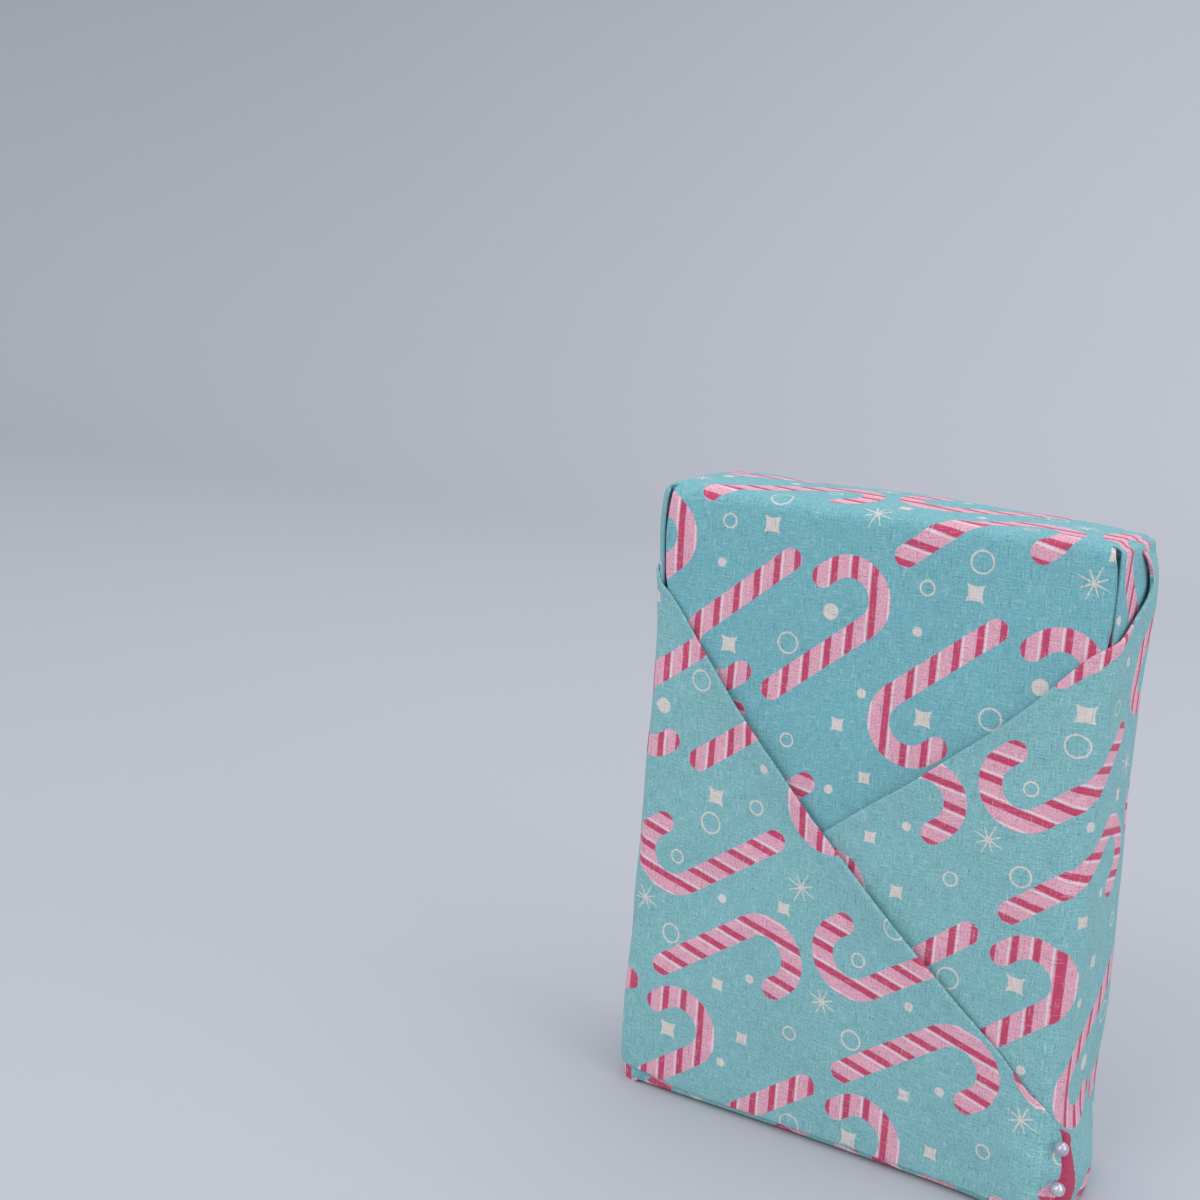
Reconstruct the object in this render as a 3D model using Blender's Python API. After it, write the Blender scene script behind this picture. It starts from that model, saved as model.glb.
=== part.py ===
"""A furoshiki wrap: one square of printed cotton folded round a flat box, and pinned.

The parcel stands on its lower end. X points right, Y away from the front and Z up, and the
origin is on the surface that it stands on, under the middle of the box. All sizes are in
metres. The cloth comes from the back over the top and down the front as the front panel.
The right part of the cloth is folded across it, then the left part, whose hemmed tip is
pinned at the lower right.
"""
from math import cos, exp, pi, sin

import bmesh
import bpy
from mathutils import Matrix, Vector

# The box form under the outer layers.
WIDTH = 0.1372
FRONT = -0.0203
BACK = 0.0222
HEIGHT = 0.195
EDGE = 0.0035          # radius of the padded edges
SUNK = 0.0015          # the lower edges are rounded to this depth below the flat base
CROWN = 0.0009         # how far each face swells at its middle
SIDE = BACK - FRONT

# What each layer adds to the form, and how far the loose folds stand off it.
PANEL = 0.0009
EAR = 0.0009
FLAP = 0.0013
ROLL = 0.0004          # extra height of a fold's rolled edge
GAP = 0.0006           # dark gap below a fold
POCKET = 0.0052        # how deep that gap runs in
FLAT_POCKET = 0.0024   # the same where a fold lies flat
BURY = 0.0011          # depth of a layer's inner face below the form

# A layer's section at its free fold, from the outermost point over the roll.
FOLD_NOSE = 0.0005
FOLD_CREST = 0.0018
FOLD_INSIDE = 0.0010
FOLD_STEPS = (0, 0.12, 0.28, 0.46, 0.64, 0.82, 1)

# The far end of a section: three points of its upper row, then three of its lower row.
LOOSE_END = (
    # distance from the end, height
    (0.0030, FLAP), (0.0008, FLAP * 0.95), (0.0, FLAP * 0.5),
    (0.0030, -BURY), (0.0022, GAP * 0.3), (0.0006, GAP * 0.3),
)
SUNK_END = (
    (0.0034, FLAP * 0.6), (0.0017, 0.0), (0.0, -BURY * 0.6),
    (0.0034, -BURY), (0.0017, -BURY * 1.3), (0.0, -BURY * 1.6),
)
END_LENGTH = 0.0052

HALF = Vector((WIDTH / 2, SIDE / 2, (HEIGHT + SUNK) / 2))
MIDDLE = Vector((0, (FRONT + BACK) / 2, (HEIGHT - SUNK) / 2))

# Fold lines on the front: their heights at even steps of X from the first place.
FOLD_FIRST = -0.070
FOLD_SPACING = 0.020
LEFT_FOLD = (0.1677, 0.1456, 0.1233, 0.1027, 0.0850, 0.0676, 0.0508, 0.0340)
RIGHT_FOLD = (0.0440, 0.0615, 0.0790, 0.0962, 0.1127, 0.1297, 0.1484, 0.1690)
FOLD_START = -0.0230   # where the right fold comes out from under the left flap
LIP_HEIGHT = 0.0030
LIP_CORNER = 0.0056    # height of the lip at the lower left corner
LIP_UNDER = 0.0014     # height of the lip of what lies under the left flap
LOWER_FLAP = 0.078     # how far the lower flap reaches up the front, out of sight

# The opening beside each upper corner, and where rays from it end, low down and up the back.
SIDE_RAYS = (
    # behind the front edge, height, end behind the front edge, end height
    (0.0035, 0.1695, 0.0040, LIP_UNDER),
    (0.0085, 0.1714, 0.0110, LIP_UNDER),
    (0.0140, 0.1742, 0.0230, LIP_UNDER),
    (0.0190, 0.1772, 0.0380, LIP_UNDER),
    (0.0225, 0.1800, 0.0480, LIP_UNDER),
    (0.0238, 0.1828, 0.0480, 0.0500),
    (0.0228, 0.1856, 0.0480, 0.1300),
    (0.0206, 0.1884, 0.0480, 0.1700),
    (0.0180, 0.1912, 0.0475, 0.1870),
    (0.0152, 0.1942, 0.0460, 0.1930),
)
SIDE_STEPS = 16
RIGHT_STEPS = 14
LEFT_STEPS = 20
SINK = 0.0022          # how far the last rays, up the back, run down into the form

# The ears tucked in beside the upper corners, by height.
EAR_HEIGHTS = (0.1618, 0.1650, 0.1690, 0.1740, 0.1790, 0.1835, 0.1875, 0.1905, 0.1930)
EAR_END = 0.0395
EARS = (
    {"name": "right_ear", "turn": 1, "front": 0.0016},
    {"name": "left_ear", "turn": -1, "front": -0.0014},
)

# The hemmed tip: rays from its outer edge inwards, and what the hem adds in height.
TIP_RAYS = (
    # along at the fold, height, along at the lip, extra height
    (WIDTH + 0.0052, 0.0240, WIDTH + 0.0068, 0.0003),
    (WIDTH + 0.0046, 0.0252, WIDTH + 0.0061, 0.0007),
    (WIDTH + 0.0018, 0.0291, WIDTH + 0.0032, 0.0007),
    (WIDTH + 0.0010, 0.0300, WIDTH + 0.0024, 0.0),
    (WIDTH - 0.0020, 0.0348, WIDTH - 0.0012, 0.0),
)

# The front panel: its side folds lie this far from the middle, by distance below the top.
PANEL_ROWS = (
    # distance below the top edge, left fold, right fold, height, openness of the side folds
    (-0.0100, -0.0560, 0.0570, -0.0006, 0.0),
    (-0.0060, -0.0605, 0.0625, 0.0001, 0.0),
    (-0.0025, -0.0645, 0.0655, 0.0005, 0.3),
    (0.0008, -0.0660, 0.0670, 0.0008, 0.7),
    (0.0045, -0.0665, 0.0680, PANEL, 1.0),
    (0.0090, -0.0667, 0.0683, PANEL, 1.0),
    (0.0150, -0.0667, 0.0684, PANEL, 1.0),
    (0.0220, -0.0665, 0.0682, PANEL, 1.0),
    (0.0270, -0.0663, 0.0678, PANEL, 1.0),
    (0.0310, -0.0655, 0.0664, PANEL, 0.9),
    (0.0360, -0.0642, 0.0645, PANEL, 0.4),
    (0.0480, -0.0640, 0.0640, PANEL, 0.0),
    (0.0620, -0.0640, 0.0640, PANEL, 0.0),
    (0.0760, -0.0640, 0.0640, PANEL, 0.0),
    (0.0900, -0.0640, 0.0640, PANEL, 0.0),
    (0.1050, -0.0640, 0.0640, PANEL, 0.0),
)

PANEL_STEPS = (0.004, 0.013, 0.029, 0.047)
PANEL_TUCK = 0.0010    # how far in the side fold's gap runs where it is closed, and open
PANEL_OPEN = 0.0024

# Soft places: centre, radius and height of each.
SWELLS = (
    {"at": (0.0700, 0.0020, 0.0060), "radius": 0.0170, "height": 0.0060},
    {"at": (0.0700, -0.0180, 0.0120), "radius": 0.0150, "height": 0.0026},
    {"at": (0.0686, 0.0160, 0.0560), "radius": 0.0340, "height": 0.0022},
    {"at": (0.0686, 0.0150, 0.1000), "radius": 0.0300, "height": 0.0008},
    {"at": (0.0700, 0.0225, 0.1960), "radius": 0.0120, "height": -0.0018},
    {"at": (0.0700, 0.0110, 0.1800), "radius": 0.0160, "height": 0.0012},
    {"at": (-0.0686, -0.0130, 0.1820), "radius": 0.0180, "height": 0.0020},
    {"at": (-0.0686, 0.0020, 0.0200), "radius": 0.0420, "height": 0.0024},
    {"at": (-0.0686, -0.0060, 0.0900), "radius": 0.0420, "height": 0.0010},
    {"at": (-0.0600, 0.0140, 0.1950), "radius": 0.0260, "height": 0.0022},
    {"at": (-0.0050, 0.0200, 0.1950), "radius": 0.0420, "height": 0.0020},
    {"at": (0.0100, FRONT, 0.1650), "radius": 0.0380, "height": -0.0008},
    {"at": (0.0060, FRONT, 0.1060), "radius": 0.0180, "height": -0.0010},
)

# The pins that hold the tip.
PIN_HEAD = 0.0021
PIN_SHAFT = 0.00035
PIN_LENGTH = 0.026
PIN_POINT = 0.003
PIN_STEPS = 16
PIN_CLEARANCE = 0.0003
PIN_RISE = 0.0006      # how far a head floats on the nap of the cloth and the hem
PIN_LEAN = Vector((-0.45, 0.89, -0.07)).normalized()
PINS = (
    {"name": "pin_upper", "around": WIDTH + 0.0006, "height": 0.0248},
    {"name": "pin_lower", "around": WIDTH + 0.0004, "height": 0.0136},
)

# Where the box form is divided: close beside its edges, and evenly between.
EDGE_CUTS = (0.0011, 0.0023, 0.0036)
FACE_CUTS = {"x": 9, "y": 4, "z": 13}


def ease(value):
    """Smooth step from 0 to 1."""
    value = min(max(value, 0.0), 1.0)
    return value * value * (3 - 2 * value)


def blend(low, high, share):
    return low + (high - low) * share


def swell(place):
    """How far the padded form stands out at a place on the plain box."""
    x, y, z = ((place[axis] - MIDDLE[axis]) / HALF[axis] for axis in range(3))
    near_x, near_y, near_z = 1 - x * x, 1 - y * y, 1 - z * z
    out = CROWN * (near_x * near_z + near_y * near_z + near_x * near_y)
    for soft in SWELLS:
        apart = (place - Vector(soft["at"])).length / soft["radius"]
        out += soft["height"] * exp(-apart * apart)
    return out


def skin(place, lift, round_sides=True):
    """A place on the plain box moved to the rounded, padded form and lifted off it."""
    inner = place.copy()
    for axis in range(3):
        if axis == 0 and not round_sides:
            continue
        reach = HALF[axis] - EDGE
        inner[axis] = min(max(place[axis], MIDDLE[axis] - reach), MIDDLE[axis] + reach)
    out = (place - inner).normalized()
    point = inner + out * (EDGE + lift + swell(place))
    point.z = max(point.z, 0.0)
    return point


def around(along, height):
    """The plain box's upright faces unrolled: along is 0 at the front's left edge."""
    half = WIDTH / 2
    if along < -SIDE:
        return Vector((-half - SIDE - along, BACK, height))
    if along < 0:
        return Vector((-half, FRONT - along, height))
    if along <= WIDTH:
        return Vector((along - half, FRONT, height))
    if along <= WIDTH + SIDE:
        return Vector((half, FRONT + along - WIDTH, height))
    return Vector((half - (along - WIDTH - SIDE), BACK, height))


def fold_height(fold, x):
    """Height of a fold line on the front at x."""
    place = min(max((x - FOLD_FIRST) / FOLD_SPACING, 0.0), len(fold) - 1.0)
    here = min(int(place), len(fold) - 2)
    t = place - here
    before, after = fold[max(here - 1, 0)], fold[min(here + 2, len(fold) - 1)]
    a, b = fold[here], fold[here + 1]
    height = a * (2 * t ** 3 - 3 * t ** 2 + 1) + b * (3 * t ** 2 - 2 * t ** 3)
    height += (b - before) * 0.5 * (t ** 3 - 2 * t ** 2 + t)
    return height + (after - a) * 0.5 * (t ** 3 - t ** 2)


def spline(rows, count):
    """Points at even steps on a smooth curve through the rows."""
    rows = [Vector(row) for row in rows]
    points = []
    for step in range(count):
        place = step * (len(rows) - 1) / (count - 1)
        here = min(int(place), len(rows) - 2)
        t = place - here
        before = rows[max(here - 1, 0)]
        after = rows[min(here + 2, len(rows) - 1)]
        a, b = rows[here], rows[here + 1]
        point = a * (2 * t ** 3 - 3 * t ** 2 + 1) + b * (3 * t ** 2 - 2 * t ** 3)
        point += (b - before) * 0.5 * (t ** 3 - 2 * t ** 2 + t)
        point += (after - a) * 0.5 * (t ** 3 - t ** 2)
        points.append(point)
    return points


def lower_cover(place):
    """Height that the lower flap, turned up in front, adds to the box form."""
    if place.y > FRONT + EDGE:
        return 0.0
    sides = ease((WIDTH / 2 - abs(place.x)) / 0.004)
    return PANEL * sides * ease((LOWER_FLAP - place.z) / 0.008)


def under_right(along, height):
    """Height of what lies under the right flap: the panel in front, the ear beside it."""
    panel = ease(along / 0.004) * ease((WIDTH - along) / 0.004)
    beside = ease(-along / 0.004) + ease((along - WIDTH) / 0.004)
    return PANEL * panel + EAR * beside * ease((height - 0.148) / 0.012)


def under_left(along, height):
    """Height of what lies under the left flap, the right flap's lower part among it."""
    below = fold_height(RIGHT_FOLD, along - WIDTH / 2) - height
    share = 1.0 if along > WIDTH else ease((below + 0.008) / 0.024)
    return under_right(along, height) + FLAP * share


def add_object(name, mesh):
    data = bpy.data.meshes.new(name)
    mesh.to_mesh(data)
    mesh.free()
    thing = bpy.data.objects.new(name, data)
    bpy.context.scene.collection.objects.link(thing)
    return thing


def loft(name, sections):
    """A closed solid through sections, each an upper and a lower row of as many points."""
    mesh = bmesh.new()
    grid = []
    for upper, lower in sections:
        grid.append([[mesh.verts.new(point) for point in row] for row in (upper, lower)])
    for (top, base), (next_top, next_base) in zip(grid, grid[1:]):
        for at in range(len(top) - 1):
            mesh.faces.new((top[at], top[at + 1], next_top[at + 1], next_top[at]))
            mesh.faces.new((base[at + 1], base[at], next_base[at], next_base[at + 1]))
        mesh.faces.new((base[0], top[0], next_top[0], next_base[0]))
        mesh.faces.new((top[-1], base[-1], next_base[-1], next_top[-1]))
    for (top, base), turn in ((grid[0], 1), (grid[-1], -1)):
        for at in range(len(top) - 1):
            mesh.faces.new((top[at], base[at], base[at + 1], top[at + 1])[::turn])
    bmesh.ops.triangulate(mesh, faces=mesh.faces[:])
    bmesh.ops.recalc_face_normals(mesh, faces=mesh.faces[:])
    return add_object(name, mesh)


def fold_section(start, end, under, lip=0.0, raised=0.0, roll=1.0):
    """A layer's section along a ray from its free fold: its upper and its lower row.

    start and end are (along, height); under gives the height of what the layer lies on.
    The far end is a loose lip where lip is 1, and runs down into the form where it is 0.
    """
    start, end = Vector(start), Vector(end)
    length = (end - start).length
    way = (end - start) / length
    crest = FLAP + (GAP * 0.7 + ROLL) * roll

    def point(distance, lift, bed=1.0):
        spot = start + way * distance
        return skin(around(spot.x, spot.y), lift + bed * (raised + under(spot.x, spot.y)))

    pocket = blend(FLAT_POCKET, min(POCKET, length * 0.3), roll)
    first, last = pocket + FLAT_POCKET, length - END_LENGTH
    middle = [blend(first, last, share) for share in FOLD_STEPS]
    upper = [
        point(0.0, GAP + 0.45 * FLAP),
        point(FOLD_NOSE, crest - ROLL * 0.5),
        point(FOLD_CREST, crest),
        point(pocket + 0.5 * FOLD_INSIDE, FLAP + ROLL * 0.6 * roll),
    ]
    lower = [
        point(0.4 * FOLD_NOSE, GAP + 0.1 * FLAP),
        point(FOLD_INSIDE, GAP),
        point(pocket, GAP),
        point(pocket + FOLD_INSIDE, -BURY, 0),
    ]
    upper += [point(distance, FLAP) for distance in middle]
    lower += [point(distance, -BURY, 0) for distance in middle]
    tail = []
    for (near, high), (far, low) in zip(LOOSE_END, SUNK_END):
        spot = start + way * (length - blend(far, near, lip))
        lift = blend(low, high, lip) + (under(spot.x, spot.y) + raised) * lip
        tail.append(skin(around(spot.x, spot.y), lift))
    tail[3] = point(length - SUNK_END[3][0], -BURY, 0)
    return upper + tail[:3], lower + tail[3:]


def sink_ends(sections, count, depth):
    """Let the last sections of a layer run down into the form."""
    for step in range(count):
        share = ease((count - step) / count)
        for row in sections[-1 - step]:
            for point in row:
                inwards = Vector((0, MIDDLE.y, point.z - 0.03)) - point
                point += inwards.normalized() * depth * share
    return sections


def side_rays(turn):
    """Rays of the part of a flap beside the box; turn is 1 on the right, -1 on the left."""
    edge = WIDTH if turn > 0 else 0.0
    rays = []
    for behind, height, end_behind, end_height in spline(SIDE_RAYS, SIDE_STEPS):
        end = (edge + turn * end_behind, max(end_height, LIP_UNDER))
        rays.append(((edge + turn * behind, height), end))
    return rays


def right_flap():
    """The right part of the cloth: up from the lower edge to its diagonal fold."""
    rays = []
    rolls = []
    for step in range(RIGHT_STEPS):
        share = step / (RIGHT_STEPS - 1)
        x = blend(FOLD_START, 0.0672, share)
        foot = x + 0.006 * (1 - share)
        start = (x + WIDTH / 2, fold_height(RIGHT_FOLD, x))
        rays.append((start, (foot + WIDTH / 2, LIP_UNDER)))
        rolls.append(ease((x + 0.0085) / 0.0075))
    rays.append(((WIDTH + 0.0008, 0.1675), (WIDTH + 0.0008, LIP_UNDER)))
    rays += side_rays(1)
    rolls += [1.0] * (len(rays) - len(rolls))
    sections = []
    for (start, end), roll in zip(rays, rolls):
        lip = 1.0 - ease((end[0] - WIDTH - SIDE + 0.006) / 0.008)
        sections.append(fold_section(start, end, under_right, lip, roll=roll))
    return loft("right_flap", sink_ends(sections, 3, SINK))


def left_flap():
    """The left part of the cloth: over the right flap to its hemmed and pinned tip."""
    sections = []
    for along, height, foot, extra in TIP_RAYS:
        section = fold_section((along, height), (foot, LIP_HEIGHT), under_left, 1.0, extra)
        sections.append(section)
    rays = []
    for step in range(LEFT_STEPS):
        x = blend(0.0640, -0.0668, step / (LEFT_STEPS - 1))
        corner = ease((step - LEFT_STEPS + 5) / 4)
        start = (x + WIDTH / 2, fold_height(LEFT_FOLD, x))
        rays.append((start, (x + WIDTH / 2, blend(LIP_HEIGHT, LIP_CORNER, corner))))
    rays.append(((-0.0008, 0.1672), (-0.0008, LIP_CORNER)))
    rays += side_rays(-1)
    for start, end in rays:
        lip = 1.0 - ease((-end[0] - SIDE + 0.006) / 0.008)
        sections.append(fold_section(start, end, under_left, lip))
    return loft("left_flap", sink_ends(sections, 3, SINK))


def ear(name, turn, front):
    """The cloth tucked in beside an upper corner, with a soft roll along its front edge.

    front is how far behind the box's front edge the roll lies.
    """
    edge = WIDTH if turn > 0 else 0.0
    sections = []
    for height in EAR_HEIGHTS:
        start = (edge + turn * front, height)
        end = (edge + turn * EAR_END, height)
        sections.append(fold_section(start, end, lambda along, high: EAR - FLAP, roll=0.0))
    return loft(name, sink_ends(sections, 2, EAR * 1.5))


def front_panel():
    """The panel that comes over the top and down the front, with a fold down each side."""
    sections = []
    for down, left, right, lift, openness in PANEL_ROWS:
        def point(x, rise):
            place = Vector((x, FRONT + max(-down, 0), HEIGHT - max(down, 0)))
            return skin(place, rise, round_sides=False)

        tuck = PANEL_TUCK + PANEL_OPEN * openness
        under = min(-0.9 * BURY * openness, lift - BURY)
        deep = -2 * BURY
        nose = 0.0006
        across = [left + step for step in PANEL_STEPS] + [(left + right) / 2]
        across += [right - step for step in reversed(PANEL_STEPS)]
        upper = [point(left, blend(under, lift, 0.4)), point(left + nose, lift)]
        upper += [point(x, lift) for x in across]
        upper += [point(right - nose, lift), point(right, blend(under, lift, 0.4))]
        lower = [point(left + nose, under), point(left + tuck, under)]
        lower += [point(x, deep) for x in across]
        lower += [point(right - tuck, under), point(right - nose, under)]
        sections.append((upper, lower))
    return loft("front_panel", sections)


def core():
    """The padded box form, with a flat base."""
    mesh = bmesh.new()
    bmesh.ops.create_cube(mesh, size=1.0)
    for vert in mesh.verts:
        vert.co = MIDDLE + Vector(2 * HALF[axis] * vert.co[axis] for axis in range(3))
    for axis, letter in enumerate("xyz"):
        low, high = MIDDLE[axis] - HALF[axis], MIDDLE[axis] + HALF[axis]
        cuts = [low + cut for cut in EDGE_CUTS] + [high - cut for cut in EDGE_CUTS]
        between = FACE_CUTS[letter]
        for step in range(1, between):
            cuts.append(blend(low + EDGE_CUTS[-1], high - EDGE_CUTS[-1], step / between))
        normal = Vector(float(axis == index) for index in range(3))
        for cut in cuts:
            everything = mesh.verts[:] + mesh.edges[:] + mesh.faces[:]
            bmesh.ops.bisect_plane(mesh, geom=everything, plane_co=normal * cut,
                                   plane_no=normal, dist=0.00001)
    for vert in mesh.verts:
        vert.co = skin(vert.co, lower_cover(vert.co))
    bmesh.ops.triangulate(mesh, faces=mesh.faces[:])
    bmesh.ops.recalc_face_normals(mesh, faces=mesh.faces[:])
    return add_object("furoshiki_wrap", mesh)


def pin_place(pin):
    """The middle of a pin's head, resting on the left flap."""
    along, height = pin["around"], pin["height"]
    lift = under_left(along, height) + FLAP + PIN_HEAD + PIN_CLEARANCE + PIN_RISE
    return skin(around(along, height), lift)


def turned(name, profile, steps, place):
    """A round piece from its profile of radius and distance along the pin."""
    mesh = bmesh.new()
    verts = [mesh.verts.new((radius, 0, -along)) for radius, along in profile]
    edges = [mesh.edges.new(pair) for pair in zip(verts, verts[1:])]
    bmesh.ops.spin(mesh, geom=verts + edges, cent=(0, 0, 0), axis=(0, 0, 1),
                   angle=2 * pi, steps=steps)
    bmesh.ops.remove_doubles(mesh, verts=mesh.verts[:], dist=0.000001)
    bmesh.ops.recalc_face_normals(mesh, faces=mesh.faces[:])
    turn = (-PIN_LEAN).to_track_quat("Z", "Y").to_matrix().to_4x4()
    mesh.transform(Matrix.Translation(place) @ turn)
    return add_object(name, mesh)


def pin_profile():
    """Half of a pin's outline: head, shaft and point."""
    profile = [(0, -PIN_HEAD)]
    rings = 8
    for ring in range(1, rings):
        angle = pi * ring / rings
        profile.append((PIN_HEAD * sin(angle), -PIN_HEAD * cos(angle)))
    profile.append((PIN_SHAFT, PIN_HEAD))
    profile.append((PIN_SHAFT, PIN_LENGTH))
    profile.append((0, PIN_LENGTH + PIN_POINT))
    return profile


def hole_profile():
    """Half of the outline of the hole that a pin's shaft lies in."""
    radius = PIN_SHAFT + PIN_CLEARANCE
    end = PIN_LENGTH + PIN_CLEARANCE
    return [(0, 0), (radius, 0), (radius, end), (0, end + PIN_POINT)]


def material(name, colour, roughness, metallic=0.0):
    finish = bpy.data.materials.new(name)
    finish.use_nodes = True
    shader = finish.node_tree.nodes["Principled BSDF"]
    shader.inputs["Base Color"].default_value = (*colour, 1.0)
    shader.inputs["Roughness"].default_value = roughness
    shader.inputs["Metallic"].default_value = metallic
    return finish


def combine(body, other, operation):
    """Join another solid to the body, or cut it away."""
    step = body.modifiers.new(other.name, "BOOLEAN")
    step.operation = operation
    step.solver = "EXACT"
    step.object = other
    other.hide_render = True
    other.display_type = "WIRE"


def main():
    for thing in list(bpy.data.objects):
        bpy.data.objects.remove(thing)
    cotton = material("printed_cotton", (0.16, 0.50, 0.54), 0.85)
    pearl = material("pearl", (0.80, 0.80, 0.84), 0.18)

    wrap = core()
    layers = [ear(**sizes) for sizes in EARS]
    layers += [front_panel(), right_flap(), left_flap()]
    for layer in layers:
        combine(wrap, layer, "UNION")
    wrap.data.materials.append(cotton)

    for pin in PINS:
        place = pin_place(pin)
        solid = turned(pin["name"], pin_profile(), PIN_STEPS, place)
        solid.data.materials.append(pearl)
        solid.data.shade_smooth()
        hole = turned(pin["name"] + "_hole", hole_profile(), PIN_STEPS // 2, place)
        combine(wrap, hole, "DIFFERENCE")


main()
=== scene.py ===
"""Looks of the furoshiki wrap: printed cotton folded round a box, crimson hem, pearl pins.

The cloth is one 500 mm square, shown as a thin folded sheet: a strip that runs from the front
panel over the top, down the back and under the base, and a double flap from each side. Every
place on it is given on the plain box first, then moved out to the padded form by skin(). Its
UV map is the unfolded cloth in metres, so that the print runs on round the edges.
"""

from math import cos, pi, radians, sin, tan

import bmesh
import bpy
import numpy as np
from mathutils import Euler, Matrix, Vector


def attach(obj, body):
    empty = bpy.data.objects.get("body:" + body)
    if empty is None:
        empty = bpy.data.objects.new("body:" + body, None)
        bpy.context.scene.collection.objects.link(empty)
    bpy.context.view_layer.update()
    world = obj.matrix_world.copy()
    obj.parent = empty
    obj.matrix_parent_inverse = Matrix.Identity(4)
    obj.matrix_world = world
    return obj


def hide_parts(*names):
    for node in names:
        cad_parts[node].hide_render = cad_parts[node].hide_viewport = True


# The padded box form under the cloth, in metres: X right, Y away from the front, Z up.
WIDTH = 0.1372
FRONT = -0.0203
BACK = 0.0222
HEIGHT = 0.195
EDGE = 0.0035          # radius of its edges
SUNK = 0.0015          # how far the plain box reaches below the floor
CROWN = 0.0009         # how far its faces bulge
SIDE = BACK - FRONT
HALF = np.array((WIDTH / 2, SIDE / 2, (HEIGHT + SUNK) / 2))
MIDDLE = np.array((0, (FRONT + BACK) / 2, (HEIGHT - SUNK) / 2))

# How far each layer lies above that form.
PANEL = 0.0009
EAR = 0.0008
FLAP = 0.0013
REST = 0.0003          # the turned-under layer of a flap above what it lies on

# Fold lines on the front: their heights at even steps of X from the first place.
FOLD_FIRST = -0.070
FOLD_SPACING = 0.020
FOLD_PLACES = 141      # places at which a fold line's curve is worked out
LEFT_FOLD = (0.1677, 0.1456, 0.1233, 0.1027, 0.0850, 0.0676, 0.0508, 0.0340)
RIGHT_FOLD = (0.0440, 0.0615, 0.0790, 0.0962, 0.1127, 0.1297, 0.1484, 0.1690)
LIP_HEIGHT = 0.0030    # the left flap's lip above the floor
LIP_CORNER = 0.0056    # the same at its raised corner
LIP_UNDER = 0.0014     # the right flap's lip, and that of both flaps beside the box

# The opening beside each upper corner, and where rays from it end, low down and up the back.
SIDE_RAYS = (
    # behind the front edge, height, end behind the front edge, end height
    (0.0012, 0.1680, 0.0012, LIP_UNDER),
    (0.0035, 0.1695, 0.0040, LIP_UNDER),
    (0.0085, 0.1714, 0.0110, LIP_UNDER),
    (0.0140, 0.1742, 0.0230, LIP_UNDER),
    (0.0190, 0.1772, 0.0380, LIP_UNDER),
    (0.0225, 0.1800, 0.0500, LIP_UNDER),
    (0.0238, 0.1828, 0.0500, 0.0500),
    (0.0228, 0.1856, 0.0500, 0.1300),
    (0.0206, 0.1884, 0.0500, 0.1700),
    (0.0180, 0.1912, 0.0500, 0.1870),
    (0.0152, 0.1942, 0.0490, 0.1930),
)

# The hemmed tip, from its outer edge inwards.
TIP_RAYS = (
    # along at the fold, height, along at the lip
    (WIDTH + 0.0044, 0.0258, WIDTH + 0.0042),
    (WIDTH + 0.0032, 0.0275, WIDTH + 0.0034),
    (WIDTH + 0.0018, 0.0291, WIDTH + 0.0024),
    (WIDTH + 0.0006, 0.0307, WIDTH + 0.0014),
    (WIDTH - 0.0006, 0.0325, WIDTH - 0.0002),
    (WIDTH - 0.0020, 0.0349, WIDTH - 0.0018),
    (WIDTH - 0.0034, 0.0373, WIDTH - 0.0034),
)

# The front panel's side folds, by distance below the top edge.
PANEL_BORDERS = (
    # distance below the top edge, left fold, right fold
    (-0.0100, -0.0646, 0.0646),
    (-0.0025, -0.0650, 0.0652),
    (0.0008, -0.0656, 0.0668),
    (0.0030, -0.0659, 0.0672),
    (0.0060, -0.0662, 0.0680),
    (0.0100, -0.0665, 0.0684),
    (0.0150, -0.0667, 0.0686),
    (0.0220, -0.0665, 0.0685),
    (0.0270, -0.0663, 0.0681),
    (0.0310, -0.0655, 0.0673),
    (0.0360, -0.0642, 0.0650),
    (0.1050, -0.0640, 0.0640),
)

# Soft places of the form: centre, radius and height of each.
SWELLS = (
    {"at": (0.0700, 0.0020, 0.0060), "radius": 0.0170, "height": 0.0060},
    {"at": (0.0700, -0.0180, 0.0120), "radius": 0.0150, "height": 0.0026},
    {"at": (0.0686, 0.0160, 0.0560), "radius": 0.0340, "height": 0.0022},
    {"at": (0.0686, 0.0150, 0.1000), "radius": 0.0300, "height": 0.0008},
    {"at": (0.0700, 0.0225, 0.1960), "radius": 0.0120, "height": -0.0018},
    {"at": (0.0700, 0.0110, 0.1800), "radius": 0.0160, "height": 0.0012},
    {"at": (-0.0686, -0.0130, 0.1820), "radius": 0.0180, "height": 0.0020},
    {"at": (-0.0686, 0.0020, 0.0200), "radius": 0.0420, "height": 0.0024},
    {"at": (-0.0686, -0.0060, 0.0900), "radius": 0.0420, "height": 0.0010},
    {"at": (-0.0600, 0.0140, 0.1950), "radius": 0.0260, "height": 0.0022},
    {"at": (-0.0050, 0.0200, 0.1950), "radius": 0.0420, "height": 0.0020},
    {"at": (0.0100, FRONT, 0.1650), "radius": 0.0380, "height": -0.0008},
    {"at": (0.0060, FRONT, 0.1060), "radius": 0.0180, "height": -0.0010},
)

# Shallow waves of the taut cloth: wave numbers a metre along X, Y and Z, phase, height.
WAVES = (
    (130.0, 40.0, 70.0, 0.4, 0.00010),
    (-60.0, 90.0, 150.0, 1.9, 0.00009),
    (210.0, 0.0, -120.0, 4.1, 0.00006),
    (30.0, 150.0, 260.0, 2.6, 0.00005),
)
WAVES_BEGIN = (0.0, 0.02)           # heights between which they set in

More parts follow.
